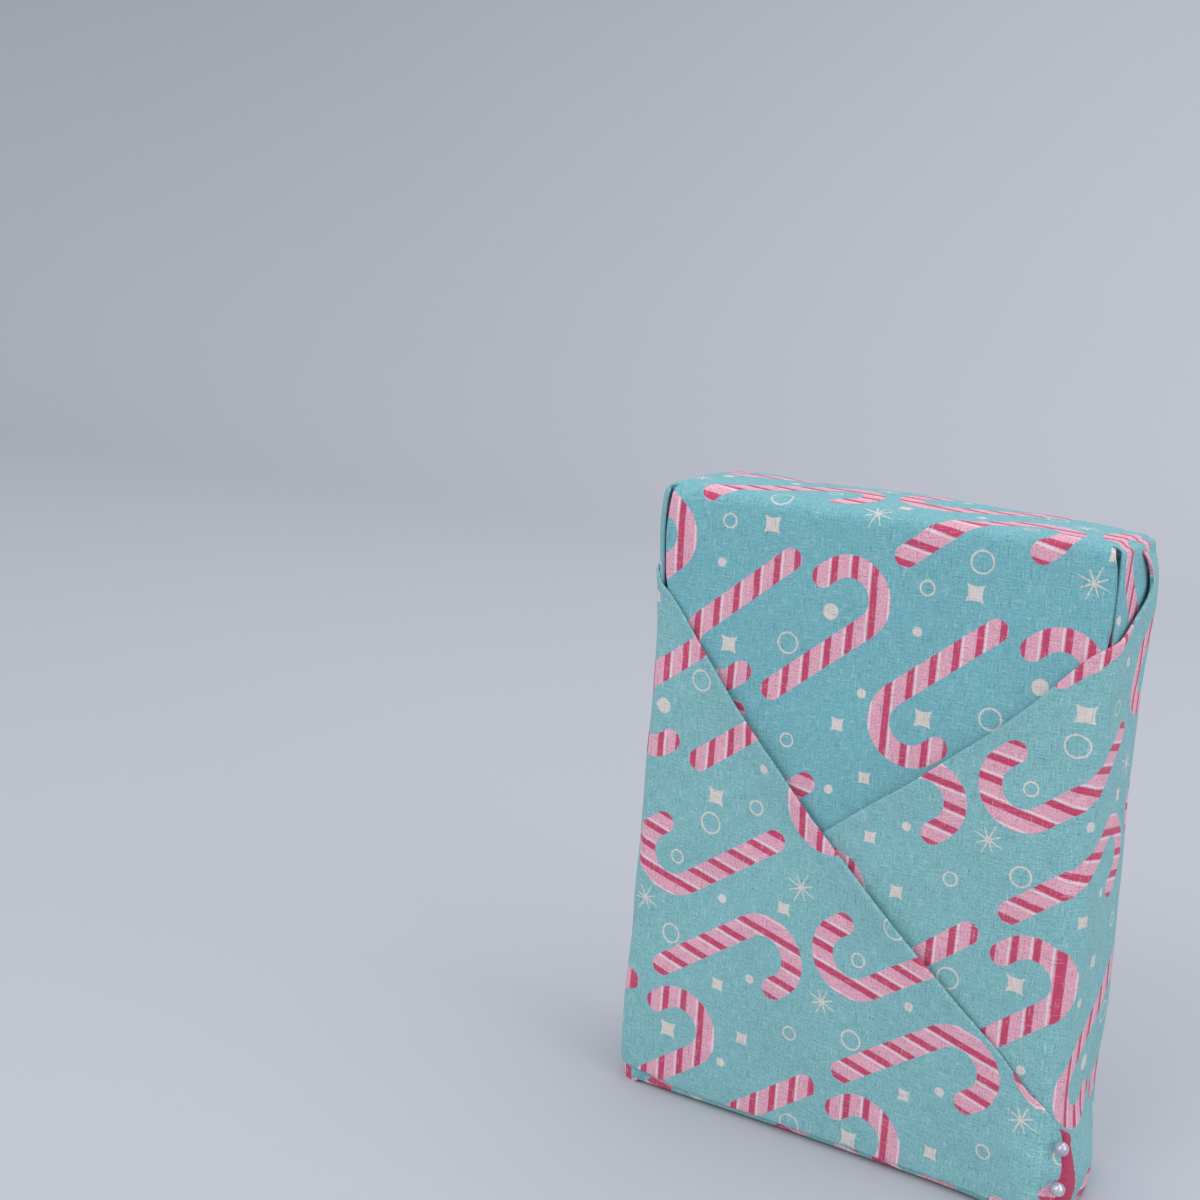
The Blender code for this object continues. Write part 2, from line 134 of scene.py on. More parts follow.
# Soft steps between the layers that lie under the flaps.
PAST_EDGE = (0.0, 0.004)            # past the front's edge, from the panel to the ear
UP_TO_EAR = (0.148, 0.160)          # up the side, on to the ear
ONTO_RIGHT_FLAP = (-0.008, 0.016)   # down across the right fold
PAST_LEFT_EDGE = (-0.010, 0.006)    # along, past the front's left edge

# Soft creases of the flaps: ends as (along, height), half width and height.
CREASES = {
    "right_flap": (
        {"ends": ((0.1180, 0.1500), (0.1340, 0.0700)), "width": 0.0030, "height": -0.00022},
        {"ends": ((0.0700, 0.0960), (0.1180, 0.0900)), "width": 0.0040, "height": 0.00022},
        {"ends": ((0.1420, 0.1500), (0.1500, 0.0500)), "width": 0.0035, "height": 0.00035},
        {"ends": ((0.1560, 0.1560), (0.1660, 0.0900)), "width": 0.0040, "height": -0.00035},
        {"ends": ((0.1440, 0.0420), (0.1600, 0.0060)), "width": 0.0045, "height": 0.00060},
        {"ends": ((0.1660, 0.0480), (0.1700, 0.0080)), "width": 0.0035, "height": -0.00050},
    ),
    "left_flap": (
        {"ends": ((0.0080, 0.1440), (0.0110, 0.0500)), "width": 0.0030, "height": 0.00022},
        {"ends": ((0.0500, 0.0960), (0.0240, 0.0560)), "width": 0.0050, "height": -0.00025},
        {"ends": ((0.0820, 0.0600), (0.1160, 0.0220)), "width": 0.0040, "height": 0.00022},
        {"ends": ((0.1000, 0.0140), (0.1360, 0.0240)), "width": 0.0025, "height": 0.00032},
        {"ends": ((0.0960, 0.0080), (0.1360, 0.0130)), "width": 0.0022, "height": -0.00028},
        {"ends": ((-0.0120, 0.1500), (-0.0180, 0.0600)), "width": 0.0045, "height": -0.00040},
        {"ends": ((-0.0280, 0.1600), (-0.0300, 0.0300)), "width": 0.0050, "height": 0.00040},
    ),
}
CREASE_TAPER = 0.4     # share of a crease's length in which each end runs out

# The crimson hem of the tip, from its upper end down: inner and outer border.
HEM_ROWS = (
    # along at the inner border, height, along at the outer border, height
    (WIDTH + 0.0010, 0.0299, WIDTH + 0.0049, 0.0256),
    (WIDTH + 0.0020, 0.0273, WIDTH + 0.0051, 0.0243),
    (WIDTH + 0.0023, 0.0252, WIDTH + 0.0046, 0.0228),
    (WIDTH + 0.0021, 0.0230, WIDTH + 0.0049, 0.0212),
    (WIDTH + 0.0019, 0.0206, WIDTH + 0.0053, 0.0194),
    (WIDTH + 0.0019, 0.0172, WIDTH + 0.0058, 0.0166),
    (WIDTH + 0.0017, 0.0146, WIDTH + 0.0063, 0.0143),
    (WIDTH + 0.0014, 0.0114, WIDTH + 0.0066, 0.0112),
    (WIDTH + 0.0011, 0.0088, WIDTH + 0.0067, 0.0090),
    (WIDTH + 0.0010, 0.0066, WIDTH + 0.0058, 0.0070),
    (WIDTH + 0.0010, 0.0044, WIDTH + 0.0048, 0.0046),
    (WIDTH + 0.0010, 0.0024, WIDTH + 0.0046, 0.0024),
)
HEM_STITCH = 0.00075   # length of a stitch
HEM_RISE = 0.00050     # how far the band stands above the flap

PINS = (
    {"name": "pin_upper", "around": WIDTH + 0.0009, "height": 0.0247},
    {"name": "pin_lower", "around": WIDTH + 0.0005, "height": 0.0133},
)
PIN_HEAD = 0.00205     # radius of the pearl
PIN_SHAFT = 0.00035    # radius of the shaft
PIN_LENGTH = 0.026     # from the pearl's middle to the ground point
PIN_POINT = 0.003      # length of that point
PIN_TIP = 0.00001      # its radius at the very end
PIN_LIFT = 0.0003      # gap between the head and the cloth
PIN_COLLAR = {"major_radius": 0.00045, "minor_radius": 0.00018}
PIN_COLLAR_OUT = 0.00005            # from the pearl to the middle of the collar
PIN_DENT = 0.0004      # how far a pin presses the cloth in
PIN_DENT_RADIUS = 0.0026
PIN_LEAN = Vector((-0.45, 0.89, -0.07)).normalized()

# The unfolded cloth: its size, and where the back and the left flap lie on it.
BACK_MIDDLE = 1.5 * WIDTH + SIDE
GIRTH = 2 * (WIDTH + SIDE)
LEFT_TURN = tan(radians(5))

# Spacing of the sheet's points: near edges and folds, and elsewhere.
FINE = 0.0007
RAY_STEP = 0.0018
RAY_MARGIN = 0.003
DEEP_STEP = 0.0020
UP_STEP = 0.0024
MERGED = 0.000002      # points closer than this are one
TINY = 1e-9


def ease(value):
    """Smooth step from 0 to 1."""
    value = np.clip(value, 0.0, 1.0)
    return value * value * (3 - 2 * value)


def soft_step(value, ends):
    """Smooth step from 0, at the first of two ends, to 1, at the second."""
    return ease((value - ends[0]) / (ends[1] - ends[0]))


def blend(low, high, share):
    return low + (high - low) * share


def stack(*columns):
    """Points from their coordinates, each an array or a single number."""
    return np.stack(np.broadcast_arrays(*columns), axis=-1).astype(float)


def swell(place):
    """How far the padded form stands out at places on the plain box."""
    near = 1 - ((place - MIDDLE) / HALF) ** 2
    x, y, z = near[..., 0], near[..., 1], near[..., 2]
    out = CROWN * (x * z + y * z + x * y)
    for soft in SWELLS:
        apart = ((place - np.array(soft["at"])) ** 2).sum(axis=-1)
        out = out + soft["height"] * np.exp(-apart / soft["radius"] ** 2)
    off_floor = soft_step(place[..., 2], WAVES_BEGIN)
    for along_x, along_y, along_z, phase, height in WAVES:
        wave = np.sin(place @ np.array((along_x, along_y, along_z)) + phase)
        out = out + height * wave * off_floor
    return out


def skin(place, lift, square=0.0):
    """Places on the plain box moved to the rounded, padded form and lifted off it.

    Where square is 1 the form isn't rounded towards its sides.
    """
    reach = HALF - EDGE
    inner = np.clip(place, MIDDLE - reach, MIDDLE + reach)
    wide = reach[0] + square * 2 * EDGE
    inner[..., 0] = np.clip(place[..., 0], -wide, wide)
    out = place - inner
    out /= np.maximum(np.linalg.norm(out, axis=-1, keepdims=True), TINY)
    point = inner + out * (EDGE + lift + swell(place))[..., None]
    point[..., 2] = np.maximum(point[..., 2], 0.0)
    return point


def around(along, height):
    """The plain box's upright faces unrolled: along is 0 at the front's left edge."""
    half = WIDTH / 2
    faces = [along < -SIDE, along < 0, along <= WIDTH, along <= WIDTH + SIDE]
    x = np.select(faces, [-half - SIDE - along, -half, along - half, half],
                  half - (along - WIDTH - SIDE))
    y = np.select(faces, [BACK, FRONT - along, FRONT, FRONT + along - WIDTH], BACK)
    return stack(x, y, height)


def spline(rows, places):
    """Points on a smooth curve through the rows; places count from 0, the first row."""
    rows = np.array(rows, float)
    last = len(rows) - 1
    here = np.clip(np.floor(places).astype(int), 0, last - 1)
    t = (places - here)[:, None]
    a, b = rows[here], rows[here + 1]
    before, after = rows[np.maximum(here - 1, 0)], rows[np.minimum(here + 2, last)]
    point = a * (2 * t ** 3 - 3 * t ** 2 + 1) + b * (3 * t ** 2 - 2 * t ** 3)
    point += (b - before) * 0.5 * (t ** 3 - 2 * t ** 2 + t)
    return point + (after - a) * 0.5 * (t ** 3 - t ** 2)


def fold_height(fold, x):
    """Height of a fold line on the front at x."""
    places = np.linspace(0, len(fold) - 1, FOLD_PLACES)
    heights = spline([(height,) for height in fold], places)[:, 0]
    return np.interp((x - FOLD_FIRST) / FOLD_SPACING, places, heights)


def spaced(start, end, step, fine=None, margin=0.006):
    """Even places from start to end, closer together within a margin of both ends."""
    length = abs(end - start)
    if fine is None:
        places = np.linspace(0, length, max(int(round(length / step)), 1) + 1)
    else:
        close = np.arange(0, margin, fine)
        middle = np.linspace(margin, length - margin, int((length - 2 * margin) / step) + 2)
        places = np.concatenate((close, middle, length - close[::-1]))
    return start + (end - start) * places / length


def under_right(along, height):
    """Height of what lies under the right flap: the panel in front, the ear beside it."""
    panel = soft_step(along, PAST_EDGE) * soft_step(WIDTH - along, PAST_EDGE)
    beside = soft_step(-along, PAST_EDGE) + soft_step(along - WIDTH, PAST_EDGE)
    return PANEL * panel + EAR * beside * soft_step(height, UP_TO_EAR)


def under_left(along, height):
    """Height of what lies under the left flap, the right flap's lower part among it."""
    below = fold_height(RIGHT_FOLD, along - WIDTH / 2) - height
    share = np.where(along > WIDTH, 1.0, soft_step(below, ONTO_RIGHT_FLAP))
    return under_right(along, height) + FLAP * share * soft_step(along, PAST_LEFT_EDGE)


def crease_lift(name, along, height):
    """Height that the soft creases of a flap, and the pins in it, add to it."""
    out = np.zeros(np.broadcast(along, height).shape)
    for crease in CREASES[name]:
        (a0, h0), (a1, h1) = crease["ends"]
        way = np.array((a1 - a0, h1 - h0))
        length = np.hypot(*way)
        way /= length
        on = ((along - a0) * way[0] + (height - h0) * way[1]) / length
        off = (along - a0) * way[1] - (height - h0) * way[0]
        taper = ease(on / CREASE_TAPER) * ease((1 - on) / CREASE_TAPER)
        out += crease["height"] * taper * np.exp(-(off / crease["width"]) ** 2)
    if name == "left_flap":
        for row in PINS:
            apart = (along - row["around"]) ** 2 + (height - row["height"]) ** 2
            out -= PIN_DENT * np.exp(-apart / PIN_DENT_RADIUS ** 2)
    return out


class Sheet:
    """Points, unfolded places and faces of a cloth, gathered from grids."""

    def __init__(self):
        self.points, self.flat, self.faces, self.doubled = [], [], [], []
        self.count = 0

    def add(self, grid, flat, closed=False, flip=False, doubled=0.0):
        """A grid of points with their unfolded places; closed joins its last column to its first.

        Doubled is 1 where the cloth is double: it looks a little paler there.
        """
        rows, columns = grid.shape[:2]
        self.points.append(grid.reshape(-1, 3))
        self.flat.append(flat.reshape(-1, 2))
        self.doubled.append(np.full(rows * columns, doubled))
        numbers = np.arange(rows * columns).reshape(rows, columns) + self.count
        if closed:
            numbers = np.concatenate((numbers, numbers[:, :1]), axis=1)
        corners = (numbers[:-1, :-1], numbers[1:, :-1], numbers[1:, 1:], numbers[:-1, 1:])
        quads = np.stack(corners, axis=-1).reshape(-1, 4)
        self.faces.append(quads[:, ::-1] if flip else quads)
        self.count += rows * columns

    def build(self, name):
        points, flat = np.concatenate(self.points), np.concatenate(self.flat)
        faces = np.concatenate(self.faces)
        data = bpy.data.meshes.new(name)
        data.from_pydata(points.tolist(), [], faces.tolist())
        layer = data.uv_layers.new(name="unfolded")
        layer.data.foreach_set("uv", flat[faces.reshape(-1)].astype(np.float32).ravel())
        double = data.attributes.new("doubled", "FLOAT", "POINT")
        double.data.foreach_set("value", np.concatenate(self.doubled).astype(np.float32))
        joined = bmesh.new()
        joined.from_mesh(data)
        bmesh.ops.remove_doubles(joined, verts=joined.verts[:], dist=MERGED)
        joined.to_mesh(data)
        joined.free()
        data.shade_smooth()
        thing = bpy.data.objects.new(name, data)
        bpy.context.scene.collection.objects.link(thing)
        return thing


# A flap's loop along a ray: round the fold, out to the lip, round it, and back underneath.
NOSE_TURNS = np.linspace(-0.5, 0.5, 8) * pi
NEAR_FOLD = np.array((0.0004, 0.0009, 0.0015, 0.0023, 0.0033, 0.0046, 0.0062, 0.0080))
LIP_TURNS = np.linspace(0.5, -0.5, 6) * pi
OUTER_STEPS = 70
UNDER_STEPS = 16
LONG_RAY = 0.035       # a shorter ray has a smaller fold and lip
LIP_NOSE = 0.0007      # depth of the lip's round

# A flap's fold, where it is pressed flat and where it is rolled.
FOLD_GAP = (0.00045, 0.00105)       # height of its inner side
FOLD_CREST = (0.00015, 0.00085)     # how far it stands above the flap behind it
FOLD_NOSE = (0.00055, 0.00130)      # depth of its round
FOLD_ZONE = (0.0040, 0.0075)        # distance in which it flattens out behind
SETTLES = 0.015                     # distance in which a raised fold comes down
RIGHT_RAISED = 0.0012
LEFT_RAISED = 0.0014
FOLD_WANDER = 0.0002

# How a flap sinks into the edge of the back, by places past that edge.
SINKS = (-0.010, 0.0035)
SINKING_RAYS = (-0.002, 0.004)      # where the rays end that sink
LAST_RAYS = 9                       # the last rays sink from end to end
INNER_SUNK = 0.0005                 # depth of its inner side there
TAIL = (0.0036, 0.0052)             # its end beyond that edge
TAIL_SUNK = 0.0004
OUTSIDE_FROM = 0.6 * FLAP           # what lies higher in the loop is its outside


def flap_loop(lengths, rolls, raised):
    """Distances behind the fold, and lifts, of the loops on rays of the given lengths."""
    scale = np.minimum(1, lengths / LONG_RAY)
    gap = blend(*FOLD_GAP, rolls)
    crest = blend(*FOLD_CREST, rolls)
    nose = blend(*FOLD_NOSE, rolls) * scale
    zone = blend(*FOLD_ZONE, rolls) * scale
    lip_nose = LIP_NOSE * scale
    top = FLAP + crest
    first = nose + NEAR_FOLD[-1] * scale

    def left_of(amount, distance, length):
        """How much of an amount is left at a distance, when it runs out over a length."""
        return amount * (1 - ease((distance - nose) / length))

    turn_x, turn_z = np.cos(NOSE_TURNS)[None], np.sin(NOSE_TURNS)[None]
    distances = [nose * (1 - turn_x)]
    lifts = [(gap + top) / 2 + turn_z * (top - gap) / 2 + raised]

    shares = np.linspace(0, 1, OUTER_STEPS + 1)[None, 1:]
    outer = first + (lengths - lip_nose - first) * shares
    outer = np.concatenate((nose + NEAR_FOLD * scale, outer), axis=1)[:, :-1]
    distances.append(outer)
    lifts.append(FLAP + left_of(crest, outer, zone) + left_of(raised, outer, SETTLES))

    turn_x, turn_z = np.cos(LIP_TURNS)[None], np.sin(LIP_TURNS)[None]
    distances.append(lengths - lip_nose * (1 - turn_x))
    lifts.append((REST + FLAP) / 2 + turn_z * (FLAP - REST) / 2 + 0 * lengths)

    shares = np.linspace(0, 1, UNDER_STEPS + 1)[None, 1:]
    inner = (lengths - lip_nose) + (first - lengths + lip_nose) * shares
    inner = np.concatenate((inner, nose + NEAR_FOLD[::-1][None, 1::2] * scale), axis=1)
    distances.append(inner)
    lifts.append(REST + left_of(gap - REST, inner, zone) + left_of(raised, inner, SETTLES))
    return np.concatenate(distances, axis=1), np.concatenate(lifts, axis=1)


def flap(sheet, name, starts, ends, rolls, raised, under, shift, flip):
    """A doubled flap: starts and ends of its rays as (along, height), rolls from 0 to 1.

    Raised says how far each ray's fold stands off what it lies on, under gives the height of
    that, and shift is the place of the front's left edge on the unfolded cloth.
    """
    lengths = np.linalg.norm(ends - starts, axis=1)[:, None]
    distances, lifts = flap_loop(lengths, rolls[:, None], raised[:, None])
    ways = (ends - starts) / lengths
    along = starts[:, :1] + ways[:, :1] * distances
    height = starts[:, 1:] + ways[:, 1:] * distances
    outside = lifts > OUTSIDE_FROM
    lifts = lifts + under(along, height)
    lifts = lifts + np.where(outside, crease_lift(name, along, height), 0.0)
    past_edge = np.abs(along - WIDTH / 2) - WIDTH / 2 - SIDE
    ray_ends = np.abs(ends[:, :1] - WIDTH / 2) - WIDTH / 2 - SIDE
    sunk = soft_step(past_edge, SINKS) * soft_step(ray_ends, SINKING_RAYS)
    from_last = np.arange(len(starts))[::-1, None]
    sunk = np.maximum(sunk, 1 - ease(from_last / LAST_RAYS))
    lifts = lifts * (1 - sunk) - np.where(outside, 0.0, INNER_SUNK) * sunk
    lifts -= TAIL_SUNK * soft_step(past_edge, TAIL)
    flat = stack(along + shift, height)
    if name == "left_flap":
        flat[..., 1] += LEFT_TURN * np.maximum(along, 0)
    sheet.add(skin(around(along, height), lifts), flat, closed=True, flip=flip, doubled=1.0)


SIDE_NUMBERS = np.arange(44)
SIDE_ROLLS = blend(0.25, 1.0, soft_step(SIDE_NUMBERS, (0, 22)))
SIDE_ROLLS -= 0.4 * soft_step(SIDE_NUMBERS, (28, 42))
SIDE_RAISED = 0.0 * SIDE_ROLLS
SIDE_LIP_DROPS = (0, 8)             # rays in which the left flap's lip comes down
TIP_STEPS = 16
TIP_ROLL = 0.10


def side_rays(turn):
    """Starts and ends of the rays beside the box; turn is 1 on the right, -1 on the left."""
    edge = WIDTH if turn > 0 else 0.0
    rays = spline(SIDE_RAYS, np.linspace(0, len(SIDE_RAYS) - 1, len(SIDE_NUMBERS)))
    starts = stack(edge + turn * rays[:, 0], rays[:, 1])
    ends = stack(edge + turn * rays[:, 2], np.maximum(rays[:, 3], LIP_UNDER))
    return starts, ends


# The corner that is turned in behind each flap.
TURNED_STEP = 0.0012
TURNED_ROWS = 8
TURNED_BELOW = 0.010                # how far its top stays below the flap's fold
TURNED_TOPS = (0.020, 0.0740)       # lowest beside the box, and highest
TURNED_LOWS = (0.0040, 0.0006)      # its lower edge: in front, and past the left corner
TURNED_DOWN = (0.0100, 0.0040)      # places along between which that comes down


def turned_in(sheet, first, last, fold, under, shift):
    """The lower corner of a flap, turned up behind it.

    It is hidden, but for its edge under the left flap's raised corner.
    """
    along = spaced(first, last, TURNED_STEP)[None]
    lowest, highest = TURNED_TOPS
    top = np.minimum(fold_height(fold, along - WIDTH / 2) - TURNED_BELOW, highest)
    top = np.where((along > 0) & (along < WIDTH), top, np.clip(top, lowest, highest))
    low = blend(*TURNED_LOWS, soft_step(along, TURNED_DOWN))
    height = low + (top - low) * np.linspace(0, 1, TURNED_ROWS)[:, None]
    along = along + 0 * height
    place = around(along, height)
    sheet.add(skin(place, REST / 2 + under(along, height)), stack(along + shift, -height))


def right_flap(sheet):
    """The flap that comes round from the right, under the left one."""
    x = spaced(-0.0650, 0.0680, RAY_STEP, FINE, RAY_MARGIN)
    wander = FOLD_WANDER * np.sin(x * 260)
    starts = stack(x + WIDTH / 2, fold_height(RIGHT_FOLD, x) + wander)
    ends = stack(x + WIDTH / 2, LIP_UNDER)
    rolls = 0.15 * soft_step(x, (-0.010, 0.0)) + 0.10 * soft_step(x, (0.052, 0.066))
    raised = RIGHT_RAISED * soft_step(x, (-0.005, 0.009)) * soft_step(x, (0.062, 0.040))
    side_starts, side_ends = side_rays(1)
    flap(sheet, "right_flap", np.concatenate((starts, side_starts)),
         np.concatenate((ends, side_ends)), np.concatenate((rolls, SIDE_ROLLS)),
         np.concatenate((raised, SIDE_RAISED)), under_right, 0.0, False)
    turned_in(sheet, 0.0200, WIDTH + 0.0360, RIGHT_FOLD, under_right, 0.0)


def left_flap(sheet):
    """The flap that comes round from the left, over the right one, to the hemmed tip."""
    tip = spline(TIP_RAYS, np.linspace(0, len(TIP_RAYS) - 1, TIP_STEPS))
    tip_starts = stack(tip[:, 0], tip[:, 1])
    tip_ends = stack(tip[:, 2], LIP_HEIGHT)
    x = spaced(0.0640, -0.0680, RAY_STEP, FINE, RAY_MARGIN)
    wander = FOLD_WANDER * np.sin(x * 230 + 1) * soft_step(x, (0.060, 0.050))
    starts = stack(x + WIDTH / 2, fold_height(LEFT_FOLD, x) + wander)
    lips = blend(LIP_HEIGHT, LIP_CORNER, soft_step(x, (-0.040, -0.068)))
    ends = stack(x + WIDTH / 2, lips)
    side_starts, side_ends = side_rays(-1)
    side_lips = blend(LIP_CORNER, LIP_UNDER, soft_step(SIDE_NUMBERS, SIDE_LIP_DROPS))
    side_ends[:, 1] = np.maximum(side_ends[:, 1], side_lips)
    rolls = TIP_ROLL + 0.22 * soft_step(x, (0.060, 0.030))
    rolls -= 0.07 * soft_step(x, (-0.056, -0.068))
    raised = LEFT_RAISED * soft_step(x, (0.056, 0.026)) * soft_step(x, (-0.062, -0.038))
    flap(sheet, "left_flap", np.concatenate((tip_starts, starts, side_starts)),
         np.concatenate((tip_ends, ends, side_ends)),
         np.concatenate((np.full(TIP_STEPS, TIP_ROLL), rolls, SIDE_ROLLS)),
         np.concatenate((np.zeros(TIP_STEPS), raised, SIDE_RAISED)), under_left, GIRTH, True)
    turned_in(sheet, WIDTH - 0.0200, -0.0360, LEFT_FOLD, under_left, GIRTH)


def panel_border(down, turn):
    """How far the panel's side fold lies from the middle, at distances below the top edge."""
    downs = np.array([row[0] for row in PANEL_BORDERS])
    borders = np.array([abs(row[2 if turn > 0 else 1]) for row in PANEL_BORDERS])
    return np.interp(down, downs, borders)


# The strip and what joins it: places below the top edge, but for the base.
TOP_BORDER = PANEL_BORDERS[0][2]    # half the strip's width on the top and the back
FALLS = np.concatenate((np.arange(FINE, 0.0090, FINE), spaced(0.0090, 0.0390, 0.0022)))
PANEL_LENGTH = 0.118
PANEL_STEP = 0.0030
PANEL_RISES = (-0.0075, 0.0045)     # the panel comes to lie on the ears' fold
SQUARED = (0.0, 0.006)              # the panel's sides stop following the rounded edge
BASE_WIDENS = (0.006, 0.0)          # heights between which the strip takes the box's width
LOWER_LENGTH = 0.100                # the cloth's lower corner, up behind the front
LOWER_STEP = 0.0050
ACROSS = (0.018, 0.0055, 0.045)     # steps of the width, fine steps, and their margin
ON_NO_PANEL = -1.0                  # stands for the back, the base and the lower corner


def strip(sheet):
    """Front panel, top, back, base and the lower flap behind the front, as one strip."""
    down = np.concatenate((spaced(PANEL_LENGTH, FALLS[-1], PANEL_STEP), FALLS[-2::-1], (0.0,)))
    back = spaced(HEIGHT, -SUNK, UP_STEP, FINE)
    deep_top = spaced(FRONT, BACK, DEEP_STEP, FINE)[1:]
    deep_base = deep_top[::-1]
    lower = spaced(-SUNK, LOWER_LENGTH, LOWER_STEP)
    y = np.concatenate((np.full(len(down), FRONT), deep_top, np.full(len(back) - 1, BACK),
                        deep_base[1:], np.full(len(lower), FRONT)))
    z = np.concatenate((HEIGHT - down, np.full(len(deep_top), HEIGHT), back[1:],
                        np.full(len(deep_base) - 1, -SUNK), lower))
    v = np.concatenate((HEIGHT + SIDE + down, HEIGHT + BACK - deep_top, back[1:],
                        deep_base[1:] - BACK, -SIDE - lower))
    on_front = np.arange(len(y)) < len(down)
    on_top = (z >= HEIGHT) & ~on_front
    below = np.where(on_front, HEIGHT - z, np.where(on_top, FRONT - y, ON_NO_PANEL))
    base = soft_step(z, BASE_WIDENS) * ~on_front
    right = blend(panel_border(below, 1), WIDTH / 2, base)
    left = blend(panel_border(below, -1), WIDTH / 2, base)
    across = spaced(0.0, 1.0, *ACROSS)[None]
    x = -left[:, None] + (right + left)[:, None] * across
    lift = PANEL * soft_step(below, PANEL_RISES)
    place = stack(x, y[:, None], z[:, None])
    flat = stack(BACK_MIDDLE - x, v[:, None])
    sheet.add(skin(place, lift[:, None] + 0 * x, soft_step(below, SQUARED)[:, None]), flat)


EAR_FRONTS = {1: 0.0015, -1: -0.0014}   # right and left ear's front fold, behind the edge
EAR_OPENS = (0.0, 0.0024)           # the pleat opens below the top edge
BACK_FANS = (-0.005, 0.005)         # the ear turns round the edge of the back
BACK_DRAWN = 0.3                    # share of its length that it is drawn in there

# The back's edge lies deeper where a flap covers it.
BACK_HIDDEN = {"depth": 0.0006, "heights": (0.1915, 0.1875), "out": (0.0, 0.003)}

# The pleat between the panel's fold and the ear's: what each line of it keeps to, how far
# in from that fold it lies, and how deep under the ear.
PLEAT = (
    ("panel", -0.00025, 0.0003),
    ("panel", -0.00010, 0.0007),
    ("panel", 0.0015, 0.0011),
    ("panel", 0.0055, 0.0012),
    ("ear", -0.0070, 0.0022),
    ("ear", 0.0036, 0.0022),
    ("ear", 0.0012, 0.0012),
    ("ear", -0.00020, 0.0007),
    ("ear", -0.00025, 0.0003),
)


def pleat_and_ear(sheet, turn):
    """The pleat behind the panel's side fold, the ear beside the box, and the back's edge."""
    front = EAR_FRONTS[turn]
    half = WIDTH / 2
    edge = half - TOP_BORDER
    out = np.concatenate((spaced(0.0, edge, FINE), edge + FALLS))
    fall = np.maximum(out - edge, 0.0)
    on_border = (out < edge)[:, None]
    border_share = np.minimum(out / edge, 1.0)
    open_share = soft_step(fall, EAR_OPENS)
    fold_x = panel_border(fall, turn)
    edge_along = WIDTH if turn > 0 else 0.0

    def beside(behind, lift):
        """Places at a distance behind the front edge, with the top's border for small out."""
        on_side = around(edge_along + turn * behind, HEIGHT - fall)
        on_top = stack(turn * blend(fold_x[0], half, border_share), FRONT + 0 * out, HEIGHT)
        return skin(np.where(on_border, on_top, on_side), lift)

    def on_panel(inset, lift):
        place = stack(turn * (fold_x - inset), FRONT, HEIGHT - fall)
        return skin(place, lift, soft_step(fall, SQUARED))

    # From the panel's fold through the pleat to the ear's fold.
    ear_lift = blend(PANEL, EAR, open_share)
    border = on_panel(0.0, ear_lift)
    ear_border = beside(front * open_share, ear_lift)
    inside = [border]
    for keeps_to, behind, depth in PLEAT:
        if keeps_to == "panel":
            inside.append(on_panel(behind, ear_lift - depth))
        else:
            inside.append(beside(front + behind, ear_lift - depth))
    inside.append(ear_border)
    rows, flats = [], []
    low, high = HEIGHT + SIDE + fall, HEIGHT + SIDE + 0 * fall
    near, far = BACK_MIDDLE - turn * fold_x, BACK_MIDDLE - turn * (TOP_BORDER + out)
    for number, row in enumerate(inside):
        share = number / (len(inside) - 1)
        plain = border * (1 - share) + ear_border * share
        rows.append(blend(plain, row, open_share[:, None]))
        flats.append(stack(blend(near, far, share), blend(low, high, share)))

    # The ear, from its front fold to the back.
    for depth in spaced(0.0, SIDE, DEEP_STEP, FINE)[1:]:
        start = front * open_share * (1 - depth / SIDE)
        on_side = around(edge_along + turn * (depth + start), HEIGHT - fall)
        on_top = stack(turn * blend(panel_border(-depth, turn), half, border_share),
                       FRONT + depth, HEIGHT)
        on_back = stack(turn * half, FRONT + depth - BACK_DRAWN * fall, HEIGHT)
        fan = soft_step(depth - SIDE, BACK_FANS)
        place = blend(np.where(on_border, on_top, on_side),
                      np.where(on_border, on_top, on_back), fan)
        near_front = PANEL * soft_step(-depth, PANEL_RISES)
        rows.append(skin(place, blend(near_front, EAR, open_share) * (1 - fan)))
        flats.append(stack(far, HEIGHT + SIDE - depth))

    # The back's edge, down to the base.
    for height in HEIGHT - spaced(0.0, HEIGHT + SUNK, UP_STEP, FINE)[1:]:
        side_first = stack(turn * half, BACK, height - fall)
        back_first = stack(turn * half, BACK - BACK_DRAWN * fall, height)
        place = blend(side_first, back_first, soft_step(HEIGHT - height, BACK_FANS))
        border = blend(TOP_BORDER, half, soft_step(height, BASE_WIDENS))
        on_back = stack(turn * blend(border, half, border_share), BACK, height)
        hidden = soft_step(height, BACK_HIDDEN["heights"]) * soft_step(out, BACK_HIDDEN["out"])
        rows.append(skin(np.where(on_border, on_back, place), -BACK_HIDDEN["depth"] * hidden))
        flats.append(stack(far, height))
    sheet.add(np.array(rows), np.array(flats), flip=turn < 0)


HEM_STEPS = 190
HEM_AROUND = 30
HEM_SQUARE = 0.55      # below 1, the band's section is squarer than an ellipse, across it
HEM_FLAT = 0.6         # and from below to above
HEM_SLANT = 0.0009     # how far a stitch moves along the band on its way across
HEM_SHOULDER = 0.0008  # length in which the band's ends round off
HEM_LOW = 0.0001
STITCH_HIGH = 0.00016
STITCH_WIDE = 0.03     # how far a stitch stands out at the edge, as a share of the width
WANDER_HIGH = 0.00003
WANDER_WIDE = 0.012
HEM_ON_CHART = 0.004   # the band's width in its UV map


